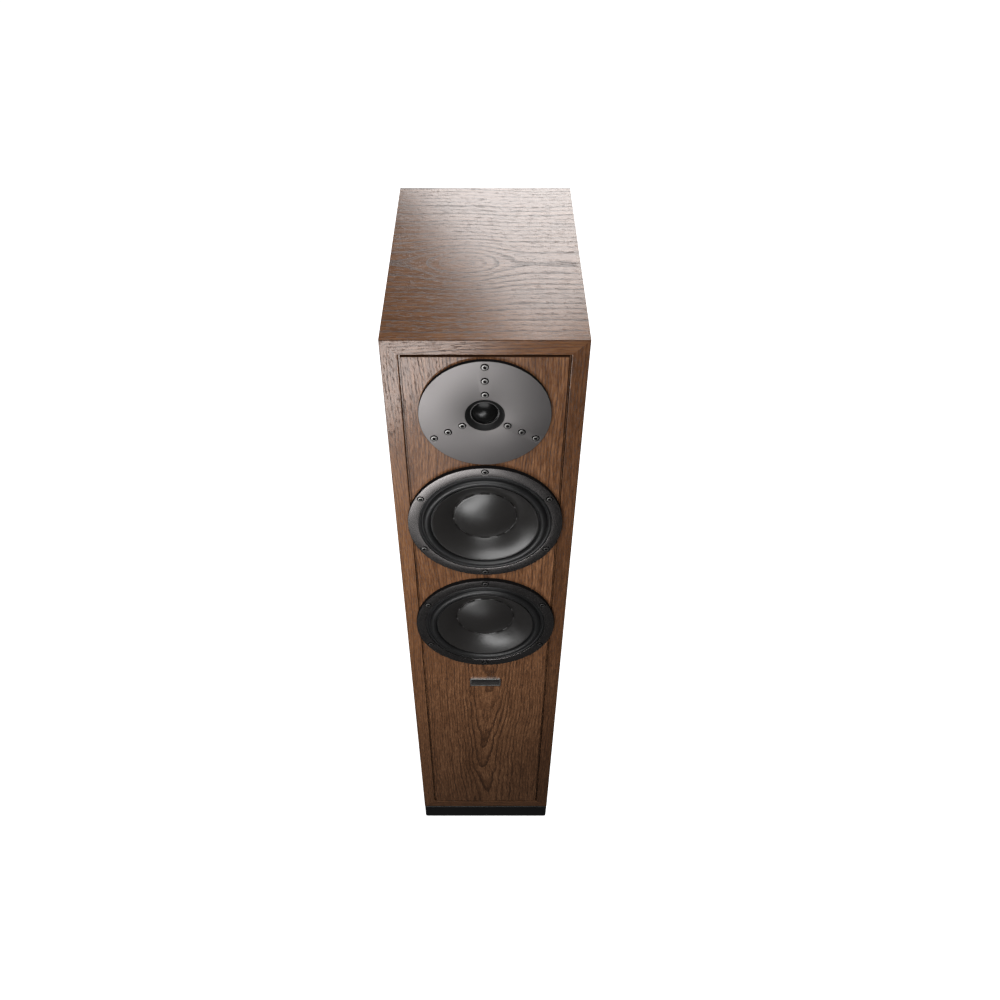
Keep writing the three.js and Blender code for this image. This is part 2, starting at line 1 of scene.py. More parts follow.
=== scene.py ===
"""Looks of the floorstanding speaker, built round its CAD frame.

Sizes and places are in millimetres, and MM turns them into metres. The noise of a material counts per metre,
and its relief is in metres.
"""
import math

import bmesh
import bpy
from mathutils import Matrix, Quaternion, Vector
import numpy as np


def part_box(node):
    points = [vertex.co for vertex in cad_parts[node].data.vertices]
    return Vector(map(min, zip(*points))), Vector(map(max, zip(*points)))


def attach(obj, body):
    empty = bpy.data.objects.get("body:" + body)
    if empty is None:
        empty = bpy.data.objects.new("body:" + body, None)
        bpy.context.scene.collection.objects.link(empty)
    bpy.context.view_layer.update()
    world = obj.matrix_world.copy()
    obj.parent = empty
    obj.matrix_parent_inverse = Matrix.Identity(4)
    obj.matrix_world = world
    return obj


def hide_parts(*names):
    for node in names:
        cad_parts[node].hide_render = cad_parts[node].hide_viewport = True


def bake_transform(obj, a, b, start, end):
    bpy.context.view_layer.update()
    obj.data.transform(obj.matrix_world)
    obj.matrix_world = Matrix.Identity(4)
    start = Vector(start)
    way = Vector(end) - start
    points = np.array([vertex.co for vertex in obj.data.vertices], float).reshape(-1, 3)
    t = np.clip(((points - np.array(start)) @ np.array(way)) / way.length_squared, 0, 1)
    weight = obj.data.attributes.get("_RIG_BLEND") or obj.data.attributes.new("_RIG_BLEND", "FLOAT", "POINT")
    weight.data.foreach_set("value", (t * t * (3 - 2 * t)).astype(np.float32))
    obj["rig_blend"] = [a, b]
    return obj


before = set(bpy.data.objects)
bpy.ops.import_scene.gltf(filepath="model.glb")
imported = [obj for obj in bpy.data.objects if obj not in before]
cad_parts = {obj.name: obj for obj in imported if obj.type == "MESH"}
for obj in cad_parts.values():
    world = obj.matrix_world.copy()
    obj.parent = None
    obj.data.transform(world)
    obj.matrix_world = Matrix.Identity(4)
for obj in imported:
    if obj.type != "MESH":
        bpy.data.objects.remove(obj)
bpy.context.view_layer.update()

MM = 0.001
X, Y, Z = 0, 1, 2
SHARP_ANGLE = 32  # degrees between two faces, from which the edge between them is hard

# Facets round a turned piece
FINE = 160
SMALL = 48
TINY = 24

# Places read from the frame
top_low, top_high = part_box("top_panel")
HALF_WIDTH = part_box("right_side_panel")[1].x / MM
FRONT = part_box("front_baffle")[0].y / MM
BACK = top_high.y / MM
TOP = top_high.z / MM
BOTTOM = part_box("bottom_panel")[0].z / MM
CARCASS_FRONT = top_low.y / MM


def middle(node):
    """Centre of a CAD node's box, in millimetres."""
    low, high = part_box(node)
    return (low + high) / 2 / MM


# ---- Camera

SENSOR_WIDTH = 36
LENS = 32.84
SHIFT = (0.013, -0.014)
PITCH = 44.25  # degrees below the horizon
CAMERA_ACROSS = 2.2
CAMERA_AHEAD = 735
CAMERA_ABOVE = 518


def add_camera():
    data = bpy.data.cameras.new("camera")
    data.sensor_width = SENSOR_WIDTH
    data.lens = LENS
    data.shift_x, data.shift_y = SHIFT
    camera = bpy.data.objects.new("camera", data)
    camera.location = Vector((CAMERA_ACROSS, FRONT - CAMERA_AHEAD, TOP + CAMERA_ABOVE)) * MM
    camera.rotation_euler = (math.radians(90 - PITCH), 0, 0)
    bpy.context.scene.collection.objects.link(camera)
    bpy.context.scene.camera = camera


add_camera()


# ---- Material helpers


class Nodes:
    """A material's node tree with short calls for the nodes used here. A value is an output or a constant."""

    def __init__(self, name, color, roughness, metallic=0.0):
        self.material = bpy.data.materials.new(name)
        self.material.use_nodes = True
        self.tree = self.material.node_tree
        self.shader = self.tree.nodes["Principled BSDF"]
        self.set("Base Color", (*color, 1))
        self.set("Roughness", roughness)
        self.set("Metallic", metallic)
        self.place = self.add("TexCoord").outputs["Object"]

    def set(self, socket, value):
        self.shader.inputs[socket].default_value = value

    def add(self, kind, **settings):
        prefix = "ShaderNodeTex" if kind in ("Noise", "WhiteNoise") else "ShaderNode"
        node = self.tree.nodes.new(prefix + kind)
        for key, value in settings.items():
            setattr(node, key, value)
        return node

    def link(self, value, socket):
        if isinstance(value, (int, float, tuple)):
            socket.default_value = value
        else:
            self.tree.links.new(value, socket)

    def add_linked(self, kind, value, **settings):
        node = self.add(kind, **settings)
        self.link(value, node.inputs[0])
        return node

    def math(self, operation, *values):
        node = self.add("Math", operation=operation)
        for value, socket in zip(values, node.inputs):
            self.link(value, socket)
        return node.outputs[0]

    def total(self, first, *others):
        for other in others:
            first = self.math("ADD", first, other)
        return first

    def swing(self, value, size, centre=0.0):
        """Spreads a value that runs from 0 to 1 over size to each side of centre."""
        return self.math("MULTIPLY_ADD", value, 2 * size, centre - size)

    def between(self, value, low, high):
        """Runs from 0 where the value is low to 1 where it is high."""
        node = self.add("MapRange", clamp=True)
        for given, socket in zip((value, low, high), node.inputs):
            self.link(given, socket)
        return node.outputs[0]

    def split(self):
        """The place on the object as three outputs: X, Y and Z."""
        return self.add_linked("SeparateXYZ", self.place).outputs

    def stretch(self, scale, offset=(0, 0, 0), vector=None):
        node = self.add_linked("Mapping", vector or self.place)
        node.inputs["Scale"].default_value = scale
        node.inputs["Location"].default_value = offset
        return node.outputs[0]

    def noise(self, vector, scale=1.0, detail=2.0):
        node = self.add("Noise")
        self.link(vector, node.inputs["Vector"])
        node.inputs["Scale"].default_value = scale
        node.inputs["Detail"].default_value = detail
        return node.outputs["Fac"]

    def ramp(self, factor, stops):
        node = self.add_linked("ValToRGB", factor)
        elements = node.color_ramp.elements
        while len(elements) < len(stops):
            elements.new(0.5)
        for element, (position, color) in zip(elements, stops):
            element.position = position
            element.color = (*color, 1)
        return node.outputs["Color"]

    def bump(self, height, distance, strength=0.5):
        node = self.add("Bump")
        node.inputs["Distance"].default_value = distance
        node.inputs["Strength"].default_value = strength
        self.link(height, node.inputs["Height"])
        self.link(node.outputs["Normal"], self.shader.inputs["Normal"])

    def color(self, value):
        self.link(value, self.shader.inputs["Base Color"])

    def roughness(self, value):
        self.link(value, self.shader.inputs["Roughness"])


def toned(color, factor):
    """A darker or lighter tone of a color."""
    return tuple(min(1, part * factor) for part in color)


# ---- Materials

WALNUT_STOPS = [
    (0.0, (0.050, 0.021, 0.0095)),
    (0.35, (0.096, 0.042, 0.019)),
    (0.65, (0.165, 0.076, 0.036)),
    (1.0, (0.270, 0.134, 0.067)),
]
SWAY = 18  # how far the fibres and the rings bend to each side
RIPPLE = 2.8  # how far the rings waver to each side
LEAST_DEPTH = 0.5  # the log's heart never comes nearer to the surface
LATE_START, LATE_PEAK = 0.42, 0.94  # where the late wood begins and is darkest, as shares of a ring


def walnut(name, along, across, heart, rings, seed, shade=0.0, contrast=1.0):
    """Plain-sawn walnut. along and across are axis numbers, and rings is the spacing of the growth rings.
    heart says how far the log's heart lies below the surface: see heart_line. shade makes the whole board
    lighter or darker, and contrast scales the figure."""
    nodes = Nodes(name, (0.15, 0.08, 0.045), 0.3)
    nodes.set("Specular IOR Level", 0.36)
    place = nodes.split()
    depth_axis = 3 - along - across

    def noise(vector, across_scale, along_scale, detail, shift):
        """Noise drawn out along the grain. shift sets the board's noises apart from each other."""
        scale = {across: across_scale, along: along_scale, depth_axis: across_scale}
        stretched = nodes.stretch((scale[X], scale[Y], scale[Z]), (seed, shift, 0), vector)
        return nodes.noise(stretched, detail=detail)

    sway = nodes.swing(noise(nodes.place, 6, 2.4, 2, 1.0), SWAY * MM)
    bent = nodes.add("CombineXYZ")
    for axis in (X, Y, Z):
        nodes.link(nodes.math("ADD", place[axis], sway if axis == across else 0.0), bent.inputs[axis])
    flow = bent.outputs[0]

    # How far a point lies from the log's heart, which the eye brings nearer along a bell curve
    sideways = nodes.total(place[across], sway, -heart["across"] * MM)
    lengthways = nodes.math("SUBTRACT", place[along], heart["along"] * MM)
    from_eye = nodes.math("ABSOLUTE", nodes.math("DIVIDE", lengthways, heart["eye_length"] * MM))
    bell = nodes.math("EXPONENT", nodes.math("MULTIPLY", nodes.math("POWER", from_eye, 2.0), -1.0))
    slope = nodes.math("MULTIPLY_ADD", lengthways, -heart["slope"], heart["depth"] * MM)
    lifted = nodes.math("ADD", slope, nodes.math("MULTIPLY", bell, -heart["eye"] * MM))
    depth = nodes.math("MAXIMUM", lifted, LEAST_DEPTH * MM)
    squares = [nodes.math("MULTIPLY", side, side) for side in (sideways, depth)]
    radius = nodes.math("SQRT", nodes.total(*squares))

    # Rings darken slowly and end sharply, each as strongly as a random weight says
    ripple = nodes.swing(noise(nodes.place, 45, 22, 3, 2.0), RIPPLE * MM)
    count = nodes.math("DIVIDE", nodes.math("ADD", radius, ripple), rings * MM)
    phase = nodes.math("FRACT", count)
    weight = nodes.add("WhiteNoise", noise_dimensions="1D")
    nodes.link(nodes.math("ADD", nodes.math("FLOOR", count), seed), weight.inputs["W"])
    darkening, ending = nodes.between(phase, LATE_START, LATE_PEAK), nodes.between(phase, 1.0, LATE_PEAK)
    late = nodes.math("MULTIPLY", darkening, ending)
    strength = nodes.math("MULTIPLY_ADD", nodes.math("POWER", weight.outputs["Value"], 1.6), 0.75, 0.25)
    line = nodes.math("MULTIPLY", nodes.math("POWER", late, 1.7), strength)

    # Finer and finer figure along the fibres. Pores are more frequent in late wood
    cloud = noise(flow, 16, 3, 3, 4.0)
    band = noise(flow, 150, 7, 3, 5.0)
    fibre = noise(flow, 520, 48, 3, 6.0)
    streak = noise(flow, 1050, 120, 2, 7.0)
    pore = nodes.between(nodes.math("MULTIPLY_ADD", late, 0.08, noise(flow, 950, 140, 2, 8.0)), 0.58, 0.67)
    tone = nodes.total(
        nodes.swing(cloud, 0.25, 0.66 + shade),
        nodes.math("MULTIPLY", line, -0.45 - 0.40 * contrast),
        nodes.swing(band, 0.30 * contrast),
        nodes.swing(fibre, 0.75 * contrast),
        nodes.swing(streak, 0.60 * contrast),
        nodes.math("MULTIPLY", pore, -0.36),
    )
    nodes.color(nodes.ramp(tone, WALNUT_STOPS))
    nodes.roughness(nodes.total(0.17, nodes.math("MULTIPLY", pore, 0.26), nodes.math("MULTIPLY", line, 0.20)))
    height = nodes.total(nodes.math("MULTIPLY", pore, -0.8), nodes.math("MULTIPLY", streak, 0.5))
    nodes.bump(height, 0.00004)
    return nodes.material


def heart_line(across, along, depth, slope=0.0, eye=0.0, eye_length=60.0):
    """The log's heart under a board. It lies at across, and is depth deep at the point along. It comes nearer
    by slope for each millimetre further along. eye is how much a bend of eye_length lifts it there."""
    return dict(across=across, along=along, depth=depth, slope=slope, eye=eye, eye_length=eye_length)


def edge_grain(name, along, across, heart, rings, seed, shade):
    """Walnut for the narrow boards of the frame, whose figure is faint."""
    return walnut(f"walnut_{name}", along, across, heart, rings, seed, shade, 0.5)


# Name, axis along the grain, axis across it, heart, spacing of the rings, seed, shade, contrast
WALNUT = {
    "baffle": walnut("walnut_baffle", Z, X, heart_line(5, 1160, 0, slope=0.045), 3.4, 3.1, 0.0, 0.75),
    "top": walnut("walnut_top", X, Y, heart_line(-24, -24, 33, eye=28, eye_length=36), 8.3, 7.7, -0.05, 0.5),
    "left": walnut("walnut_left_side", Z, Y, heart_line(-20, 1250, 0, slope=0.045), 3.2, 11.2),
    "right": walnut("walnut_right_side", Z, Y, heart_line(30, 1300, 0, slope=0.045), 3.2, 19.5),
    "back": walnut("walnut_back", Z, X, heart_line(10, 1200, 0, slope=0.045), 3.0, 23.4),
    "bottom": walnut("walnut_bottom", X, Y, heart_line(0, 0, 20), 3.2, 27.9),
    "left_stile": edge_grain("left_stile", Z, X, heart_line(-260, 500, 60, slope=0.02), 3.0, 31.3, 0.02),
    # The right stile is much darker: partly its own tone and partly painted shade for light that falls off
    # towards the right
    "right_stile": edge_grain("right_stile", Z, X, heart_line(240, 500, 60, slope=0.02), 3.0, 37.1, -0.30),
    "top_rail": edge_grain("top_rail", X, Z, heart_line(960, 20, 30, slope=0.05), 3.2, 41.6, -0.04),
    "bottom_rail": edge_grain("bottom_rail", X, Z, heart_line(80, -20, 30, slope=0.05), 3.2, 43.8, -0.08),
}


def grained(name, color, roughness, metallic=0.0, grain=2500.0, relief=0.00003, mottle=0.15, level=0.5):
    """A moulded, painted or blasted surface: fine relief, with slight changes of tone and gloss."""
    nodes = Nodes(name, color, roughness, metallic)
    nodes.set("Specular IOR Level", level)
    fine = nodes.noise(nodes.place, grain, 2)
    broad = nodes.noise(nodes.place, 35, 3)
    nodes.color(nodes.ramp(broad, [(0.3, toned(color, 1 - mottle)), (0.7, toned(color, 1 + mottle))]))
    nodes.roughness(nodes.total(nodes.swing(broad, 0.04, roughness), nodes.swing(fine, 0.03)))
    nodes.bump(fine, relief)
    return nodes.material


def brushed(name, color, roughness, scale):
    """Metal brushed along one axis: scale is the noise scale on X, Y and Z."""
    nodes = Nodes(name, color, roughness, 1.0)
    lines = nodes.noise(nodes.stretch(scale), detail=3)
    nodes.roughness(nodes.swing(lines, 0.1, roughness))
    nodes.color(nodes.ramp(lines, [(0.3, toned(color, 0.82)), (0.7, color)]))
    nodes.bump(lines, 0.00002, 0.4)
    return nodes.material


def cloth(name, color, thread, roughness=0.9, level=0.5, relief=0.0001):
    """Woven cloth seen from the front: two crossed sets of threads."""
    nodes = Nodes(name, color, roughness)
    nodes.set("Specular IOR Level", level)
    place = nodes.split()
    turns = 2 * math.pi / (thread * MM)
    warp = nodes.math("SINE", nodes.math("MULTIPLY", place[X], turns))
    weft = nodes.math("SINE", nodes.math("MULTIPLY", place[Z], turns))
    weave = nodes.math("MULTIPLY", warp, weft)
    shown = nodes.math("MULTIPLY_ADD", weave, 0.5, 0.5)
    nodes.color(nodes.ramp(shown, [(0.0, toned(color, 0.6)), (1.0, color)]))
    nodes.bump(weave, relief)
    return nodes.material


PLATE_GREY = grained(
    "satin_grey", (0.112, 0.105, 0.104), 0.38, 0.72, grain=5200, relief=0.000004, mottle=0.02
)
# Near-black with no gloss: painted shade in counterbores, hex sockets and on the sides of screw heads; on the
# sides of plates and flanges it is partly their own black and partly painted shade
BLACK_AND_SHADE = grained("black_edge_and_painted_shade", (0.006, 0.0055, 0.0055), 0.9, level=0.1)
CAST_BLACK = grained(
    "black_casting", (0.250, 0.235, 0.232), 0.21, 1.0, grain=3200, relief=0.0000015, mottle=0.04
)
RUBBER = grained("surround_rubber", (0.008, 0.008, 0.0083), 0.40, grain=1800, relief=0.00002, level=0.4)
CONE_BLACK = grained("cone_polymer", (0.0155, 0.0145, 0.014), 0.31, grain=1500, relief=0.00001, mottle=0.05)
DOME_CLOTH = cloth("dome_cloth", (0.005, 0.005, 0.005), 0.5, 0.24, 0.22, 0.000008)
BRIGHT_STEEL = brushed("bright_steel", (0.62, 0.61, 0.60), 0.28, (800, 800, 800))
DARK_STEEL = brushed("dark_steel", (0.20, 0.195, 0.19), 0.36, (2600, 2600, 2600))
THROAT_STEEL = brushed("throat_steel", (0.075, 0.073, 0.072), 0.36, (2600, 2600, 2600))
# Dark walnut with no gloss: painted shade on the rounded outer front arris of the frame
ARRIS_SHADE = grained("painted_arris_shade", (0.030, 0.017, 0.012), 0.8, grain=900, relief=0.00002, level=0.0)
# Dark walnut with no gloss: painted shade in the groove round the baffle, on its rounded lip and on the frame's
# inner walls beside it
GROOVE_SHADE = grained("painted_groove_shade", (0.036, 0.016, 0.008), 0.8, grain=900, relief=0.00004, level=0.0)
PLINTH_BLACK = grained("plinth_lacquer", (0.008, 0.008, 0.008), 0.42, grain=1500, relief=0.00001)
PAD_RUBBER = grained("pad_rubber", (0.02, 0.02, 0.02), 0.8, grain=900, relief=0.0001)
PLASTIC = grained("black_plastic", (0.007, 0.007, 0.0073), 0.42, grain=1400, relief=0.00002)
FLARE_BLACK = grained("flare_black", (0.007, 0.0068, 0.0068), 0.45, grain=1800, relief=0.00001, level=0.12)
GOLD = brushed("gold_plate", (0.83, 0.60, 0.25), 0.24, (600, 600, 600))
RED_CAP = grained("red_cap", (0.30, 0.012, 0.010), 0.28, grain=900, relief=0.00001)
BLACK_CAP = grained("black_cap", (0.014, 0.014, 0.014), 0.28, grain=900, relief=0.00001)
BADGE_METAL = brushed("badge_metal", (0.66, 0.65, 0.63), 0.34, (60, 900, 2600))
BADGE_FIELD = grained("badge_field", (0.035, 0.033, 0.032), 0.35, grain=2600, relief=0.00001)
MAGNET_STEEL = brushed("magnet_steel", (0.30, 0.30, 0.31), 0.4, (500, 500, 500))
FIBREBOARD = grained("fibreboard", (0.33, 0.24, 0.15), 0.85, grain=700, relief=0.0002)
SPIDER_CLOTH = cloth("spider_cloth", (0.45, 0.34, 0.13), 0.8)
COIL_WIRE = brushed("coil_wire", (0.60, 0.28, 0.13), 0.35, (40, 4000, 40))
FILM = grained("capacitor_film", (0.02, 0.03, 0.12), 0.3)


# ---- Mesh helpers


def piece(name, mesh_builder, material, body, slot, replaces=(), sharp=SHARP_ANGLE):
    """Makes the object from a bmesh, shades it smooth up to the sharp angle and hangs it on its body. With no
    sharp angle its faces stay flat."""
    mesh = bpy.data.meshes.new(name)
    bmesh.ops.recalc_face_normals(mesh_builder, faces=mesh_builder.faces)
    mesh_builder.to_mesh(mesh)
    mesh_builder.free()
    if sharp:
        mesh.shade_smooth()
        mesh.set_sharp_from_angle(angle=math.radians(sharp))
    else:
        mesh.shade_flat()
    mesh.materials.append(material)
    made = bpy.data.objects.new(name, mesh)
    bpy.context.scene.collection.objects.link(made)
    if body:
        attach(made, body)
    if replaces:
        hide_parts(*replaces)
    return made


def turned(rings, centre, facets=FINE, upright=False):
    """A solid of rings about a line through centre, along +Y or, if upright, +Z. A ring is (radius, depth) or
    a function of the angle that gives them. A profile that starts off the axis is closed on itself."""
    made = bmesh.new()
    centre = Vector(centre)
    loops = []
    for ring in rings:
        at = ring if callable(ring) else (lambda angle, fixed=ring: fixed)
        points = [at(2 * math.pi * i / facets) for i in range(facets)]
        if max(radius for radius, _ in points) < 1e-9:
            points = points[:1]
        loop = []
        for i, (radius, depth) in enumerate(points):
            angle = 2 * math.pi * i / facets
            side, rise = radius * math.sin(angle), radius * math.cos(angle)
            offset = (side, rise, depth) if upright else (side, depth, rise)
            loop.append(made.verts.new((centre + Vector(offset)) * MM))
        loops.append(loop)
    pairs = list(zip(loops, loops[1:]))
    if len(loops[0]) > 1:
        pairs.append((loops[-1], loops[0]))
    for low, high in pairs:
        for i in range(facets):
            j = i + 1
            ends = [low[i % len(low)], low[j % len(low)], high[j % len(high)], high[i % len(high)]]
            distinct = list(dict.fromkeys(ends))
            if len(distinct) > 2:
                made.faces.new(distinct)
    return made


def eased(profile, steps=4):
    """Rounds corners of a closed profile. A point is (radius, depth), or (radius, depth, size of round)."""
    made = []
    for i, point in enumerate(profile):
        corner = Vector(point[:2])
        size = point[2] if len(point) > 2 else 0
        if not size:
            made.append(tuple(corner))
            continue
        before = Vector(profile[i - 1][:2]) - corner
        after = Vector(profile[(i + 1) % len(profile)][:2]) - corner
        start, end = corner + before.normalized() * size, corner + after.normalized() * size
        for step in range(steps + 1):
            t = step / steps
            made.append(tuple(start * (1 - t) ** 2 + corner * 2 * t * (1 - t) + end * t ** 2))
    return made


def soften(made, edges, size, segments):
    """Rounds the edges of a bmesh."""
    if edges:
        bmesh.ops.bevel(made, geom=edges, offset=size * MM, segments=segments, profile=0.5, affect="EDGES")


def board(outline, depth, soft, size):
    """A board from an outline in X and Z. soft says which edges are rounded, from the two ends of an edge."""
    made = bmesh.new()
    front, back = [[made.verts.new(Vector((x, y, z)) * MM) for x, z in outline] for y in depth]
    made.faces.new(front)
    made.faces.new(back)
    for i in range(len(outline)):
        j = (i + 1) % len(outline)
        made.faces.new([front[i], front[j], back[j], back[i]])
    soften(made, [e for e in made.edges if soft(*(v.co / MM for v in e.verts))], size, 3)
    return made


def from_cad(node, soft=None, size=0.4, segments=2):
    """A CAD node's own mesh, with its hard edges rounded, or those of them that soft chooses."""
    made = bmesh.new()
    made.from_mesh(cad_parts[node].data)
    bmesh.ops.remove_doubles(made, verts=made.verts, dist=1e-6)
    bmesh.ops.dissolve_limit(made, angle_limit=math.radians(1), verts=made.verts, edges=made.edges)

    def hard(edge):
        return len(edge.link_faces) == 2 and edge.calc_face_angle(0) > math.radians(40)

    chosen = [e for e in made.edges if hard(e) and (soft is None or soft(*(v.co / MM for v in e.verts)))]
    soften(made, chosen, size, segments)
    return made


def block(size, place):
    """A bmesh box round a point."""
    made = bmesh.new()
    bmesh.ops.create_cube(made, size=1.0)
    bmesh.ops.scale(made, vec=Vector(size) * MM, verts=made.verts)
    bmesh.ops.translate(made, vec=Vector(place) * MM, verts=made.verts)
    return made


def subtract(target, cutters):
    """Cuts the bmeshes in cutters out of an object with one exact boolean, and applies it."""
    mesh = bpy.data.meshes.new("cutter")
    joined = bmesh.new()
    for cutter in cutters:
        bmesh.ops.recalc_face_normals(cutter, faces=cutter.faces)
        cutter.to_mesh(mesh)
        cutter.free()
        joined.from_mesh(mesh)
    joined.to_mesh(mesh)
    joined.free()
    tool = bpy.data.objects.new("cutter", mesh)
    bpy.context.scene.collection.objects.link(tool)
    modifier = target.modifiers.new("cut", "BOOLEAN")
    modifier.object = tool
    modifier.solver = "EXACT"
    depsgraph = bpy.context.evaluated_depsgraph_get()
    result = bpy.data.meshes.new_from_object(target.evaluated_get(depsgraph))
    target.modifiers.clear()
    target.data = result
    result.shade_smooth()
    result.set_sharp_from_angle(angle=math.radians(SHARP_ANGLE))
    bpy.data.objects.remove(tool)


def paint(made, material, where):
    """Gives another material to the faces for which where(centre, normal), in millimetres, is true."""
    made.data.materials.append(material)
    index = len(made.data.materials) - 1
    for polygon in made.data.polygons:
        if where(polygon.center / MM, polygon.normal):
            polygon.material_index = index


def drill(x, z, depth, radius, facets=TINY):
    """A cylinder along +Y between two depths, for cutting."""
    return turned([(0, depth[0]), (radius, depth[0]), (radius, depth[1]), (0, depth[1])], (x, 0, z), facets)


def cap(radius, edge, height, steps):
    """Points of a domed cap from its middle out to its edge, bulging towards -Y."""
    sphere = (radius**2 + height**2) / (2 * height)
    spread = [radius * i / steps for i in range(steps + 1)]
    return [(r, edge - height + sphere - math.sqrt(sphere**2 - r**2)) for r in spread]


def winding(outer, inner, low, high, turns, groove):
    """Profile of a coil of round wire between two depths, with a groove between its turns."""
    step = (high - low) / turns / 2
    outside = [(outer - groove * (i % 2), low + step * i) for i in range(2 * turns + 1)]
    return [*outside, (inner, high), (inner, low)]


# ---- Cabinet

PANEL = 19
FRAME_WIDTH = 17.6
FRAME_DEPTH = 25
FRAME_BEVEL = 0.65
PANEL_BEVEL = 0.5
GROOVE_WIDTH = 2.2
LIP_RADIUS = 0.6
SEAM = 0.02
PANELS = {
    "left": "left_side_panel",
    "right": "right_side_panel",
    "top": "top_panel",
    "bottom": "bottom_panel",
}
RAILS = {"left": "left_stile", "right": "right_stile", "top": "top_rail", "bottom": "bottom_rail"}


def hoop(thickness):
    """Outlines of the four mitred boards of a rectangular hoop, with a seam at each mitre."""
    outer, inner = HALF_WIDTH, HALF_WIDTH - thickness
    low, high = BOTTOM + thickness, TOP - thickness

    def level(outer_z, inner_z):
        long, short = outer - SEAM, inner - SEAM
        return [(-long, outer_z), (long, outer_z), (short, inner_z), (-short, inner_z)]

    return {
        "left": [(-outer, BOTTOM), (-outer, TOP), (-inner, high), (-inner, low)],
        "right": [(outer, BOTTOM), (outer, TOP), (inner, high), (inner, low)],
        "top": level(TOP, high),
        "bottom": level(BOTTOM, low),
    }


def close(a, b):
    return abs(a - b) < 0.1


def front_edges(a, b):
    """The long front edges of a frame board, outer and inner."""
    on_front = close(a.y, FRONT) and close(b.y, FRONT)
    return on_front and (close(a.x, b.x) or close(a.z, b.z))


def back_edges(a, b):
    """The outer back edges of the cabinet."""
    on_back = close(a.y, BACK) and close(b.y, BACK)
    outer_side = close(abs(a.x), HALF_WIDTH) and close(abs(b.x), HALF_WIDTH) and close(a.x, b.x)
    outer_level = close(a.z, b.z) and (close(a.z, TOP) or close(a.z, BOTTOM))
    return on_back and (outer_side or outer_level)


def from_outside(centre):
    """How far a point lies inside the cabinet's outline, seen from the front."""
    return min(HALF_WIDTH - abs(centre.x), TOP - centre.z, centre.z - BOTTOM)


def on_outside(centre, normal):
    return from_outside(centre) < 0.5 and abs(normal.y) < 0.1


# Faces of the rounded outer front arris of a frame board, which get painted shade
def on_front_arris(centre, normal):
    return from_outside(centre) < 0.5 and -0.95 < normal.y < -0.1


# The inner walls of a frame board, beside the groove, which get painted shade
def on_inner_wall(centre, normal):
    return from_outside(centre) >= 0.5 and abs(normal.y) < 0.1


def in_groove(centre, normal):
    """The floor, wall and rounded lip of the groove that runs round the baffle, inside the frame, which get
    painted shade.
    """
    near_frame = from_outside(centre) < FRAME_WIDTH + GROOVE_WIDTH + LIP_RADIUS
    return near_frame and (normal.y > -0.98 or centre.y > FRONT + 1)


def veneered(name, made, figure, node):
    return piece(name, made, WALNUT[figure], "cabinet", "walnut_veneer", [node], sharp=None)


def add_cabinet():
    seam_y = (CARCASS_FRONT + FRONT + FRAME_DEPTH) / 2
    for side, outline in hoop(PANEL).items():
        made = board(outline, (seam_y, BACK), back_edges, PANEL_BEVEL)
        veneered(f"veneered_{PANELS[side]}", made, side, PANELS[side])
    for side, outline in hoop(FRAME_WIDTH).items():
        name = RAILS[side]
        made = board(outline, (FRONT, seam_y - SEAM), front_edges, FRAME_BEVEL)
        rail = piece(f"walnut_{name}", made, WALNUT[name], "cabinet", "walnut_lipping", [f"frame_{name}"],
                     sharp=None)
        paint(rail, WALNUT[side], on_outside)
        # Painted shade on the rounded front arris
        paint(rail, ARRIS_SHADE, on_front_arris)
        # Painted shade on the inner walls beside the groove
        paint(rail, GROOVE_SHADE, on_inner_wall)
    made = from_cad("front_baffle", front_edges, LIP_RADIUS)
    # Painted shade in the groove and on its rounded lip round the baffle
    paint(veneered("veneered_baffle", made, "baffle", "front_baffle"), GROOVE_SHADE, in_groove)
    veneered("veneered_back", from_cad("back_panel"), "back", "back_panel")
    for name in ("upper_brace", "lower_brace"):
        made = from_cad(name, size=0.6)
        piece(f"sawn_{name}", made, FIBREBOARD, "cabinet", "brace_board", [name], sharp=None)


add_cabinet()


# ---- Plinth and feet

PAD_RADIUS = 17
PAD_BORE = 4.3
STUD_RADIUS = 4.0
WHEEL_RADIUS = 10.0
WHEEL_FLUTES = 20
FOOT_PITCH = 1.25


def add_plinth():
    def outer(a, b):
        """A level edge that reaches well out from the middle."""
        return max(abs(a.x), abs(b.x)) > 60 and close(a.z, b.z)

    made = from_cad("plinth", outer, 0.8, 3)
    piece("lacquered_plinth", made, PLINTH_BLACK, "cabinet", "plinth_lacquer", ["plinth"])


def add_foot(place):
    pad, stud = f"{place}_foot_pad", f"{place}_foot_stud"
    x, y, _ = middle(pad)
    low, high = (corner.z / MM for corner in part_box(pad))
    socket = low + 2.5
    profile = eased([
        (0, low), (PAD_RADIUS, low, 1.0), (PAD_RADIUS, high, 0.8), (PAD_BORE, high, 0.3), (PAD_BORE, socket),
        (0, socket),
    ])
    piece(f"moulded_{pad}", turned(profile, (x, y, 0), SMALL, upright=True), PAD_RUBBER, f"{place}_pad",
          "foot_rubber", [pad])
    wheel = (high + 0.3, high + 3.3)
    low, high = (corner.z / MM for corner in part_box(stud))
    piece(f"threaded_{stud}", turned(stud_rings(low, high, wheel), (x, y, 0), 80, upright=True), BRIGHT_STEEL,
          f"{place}_stud", "stud_steel", [stud])


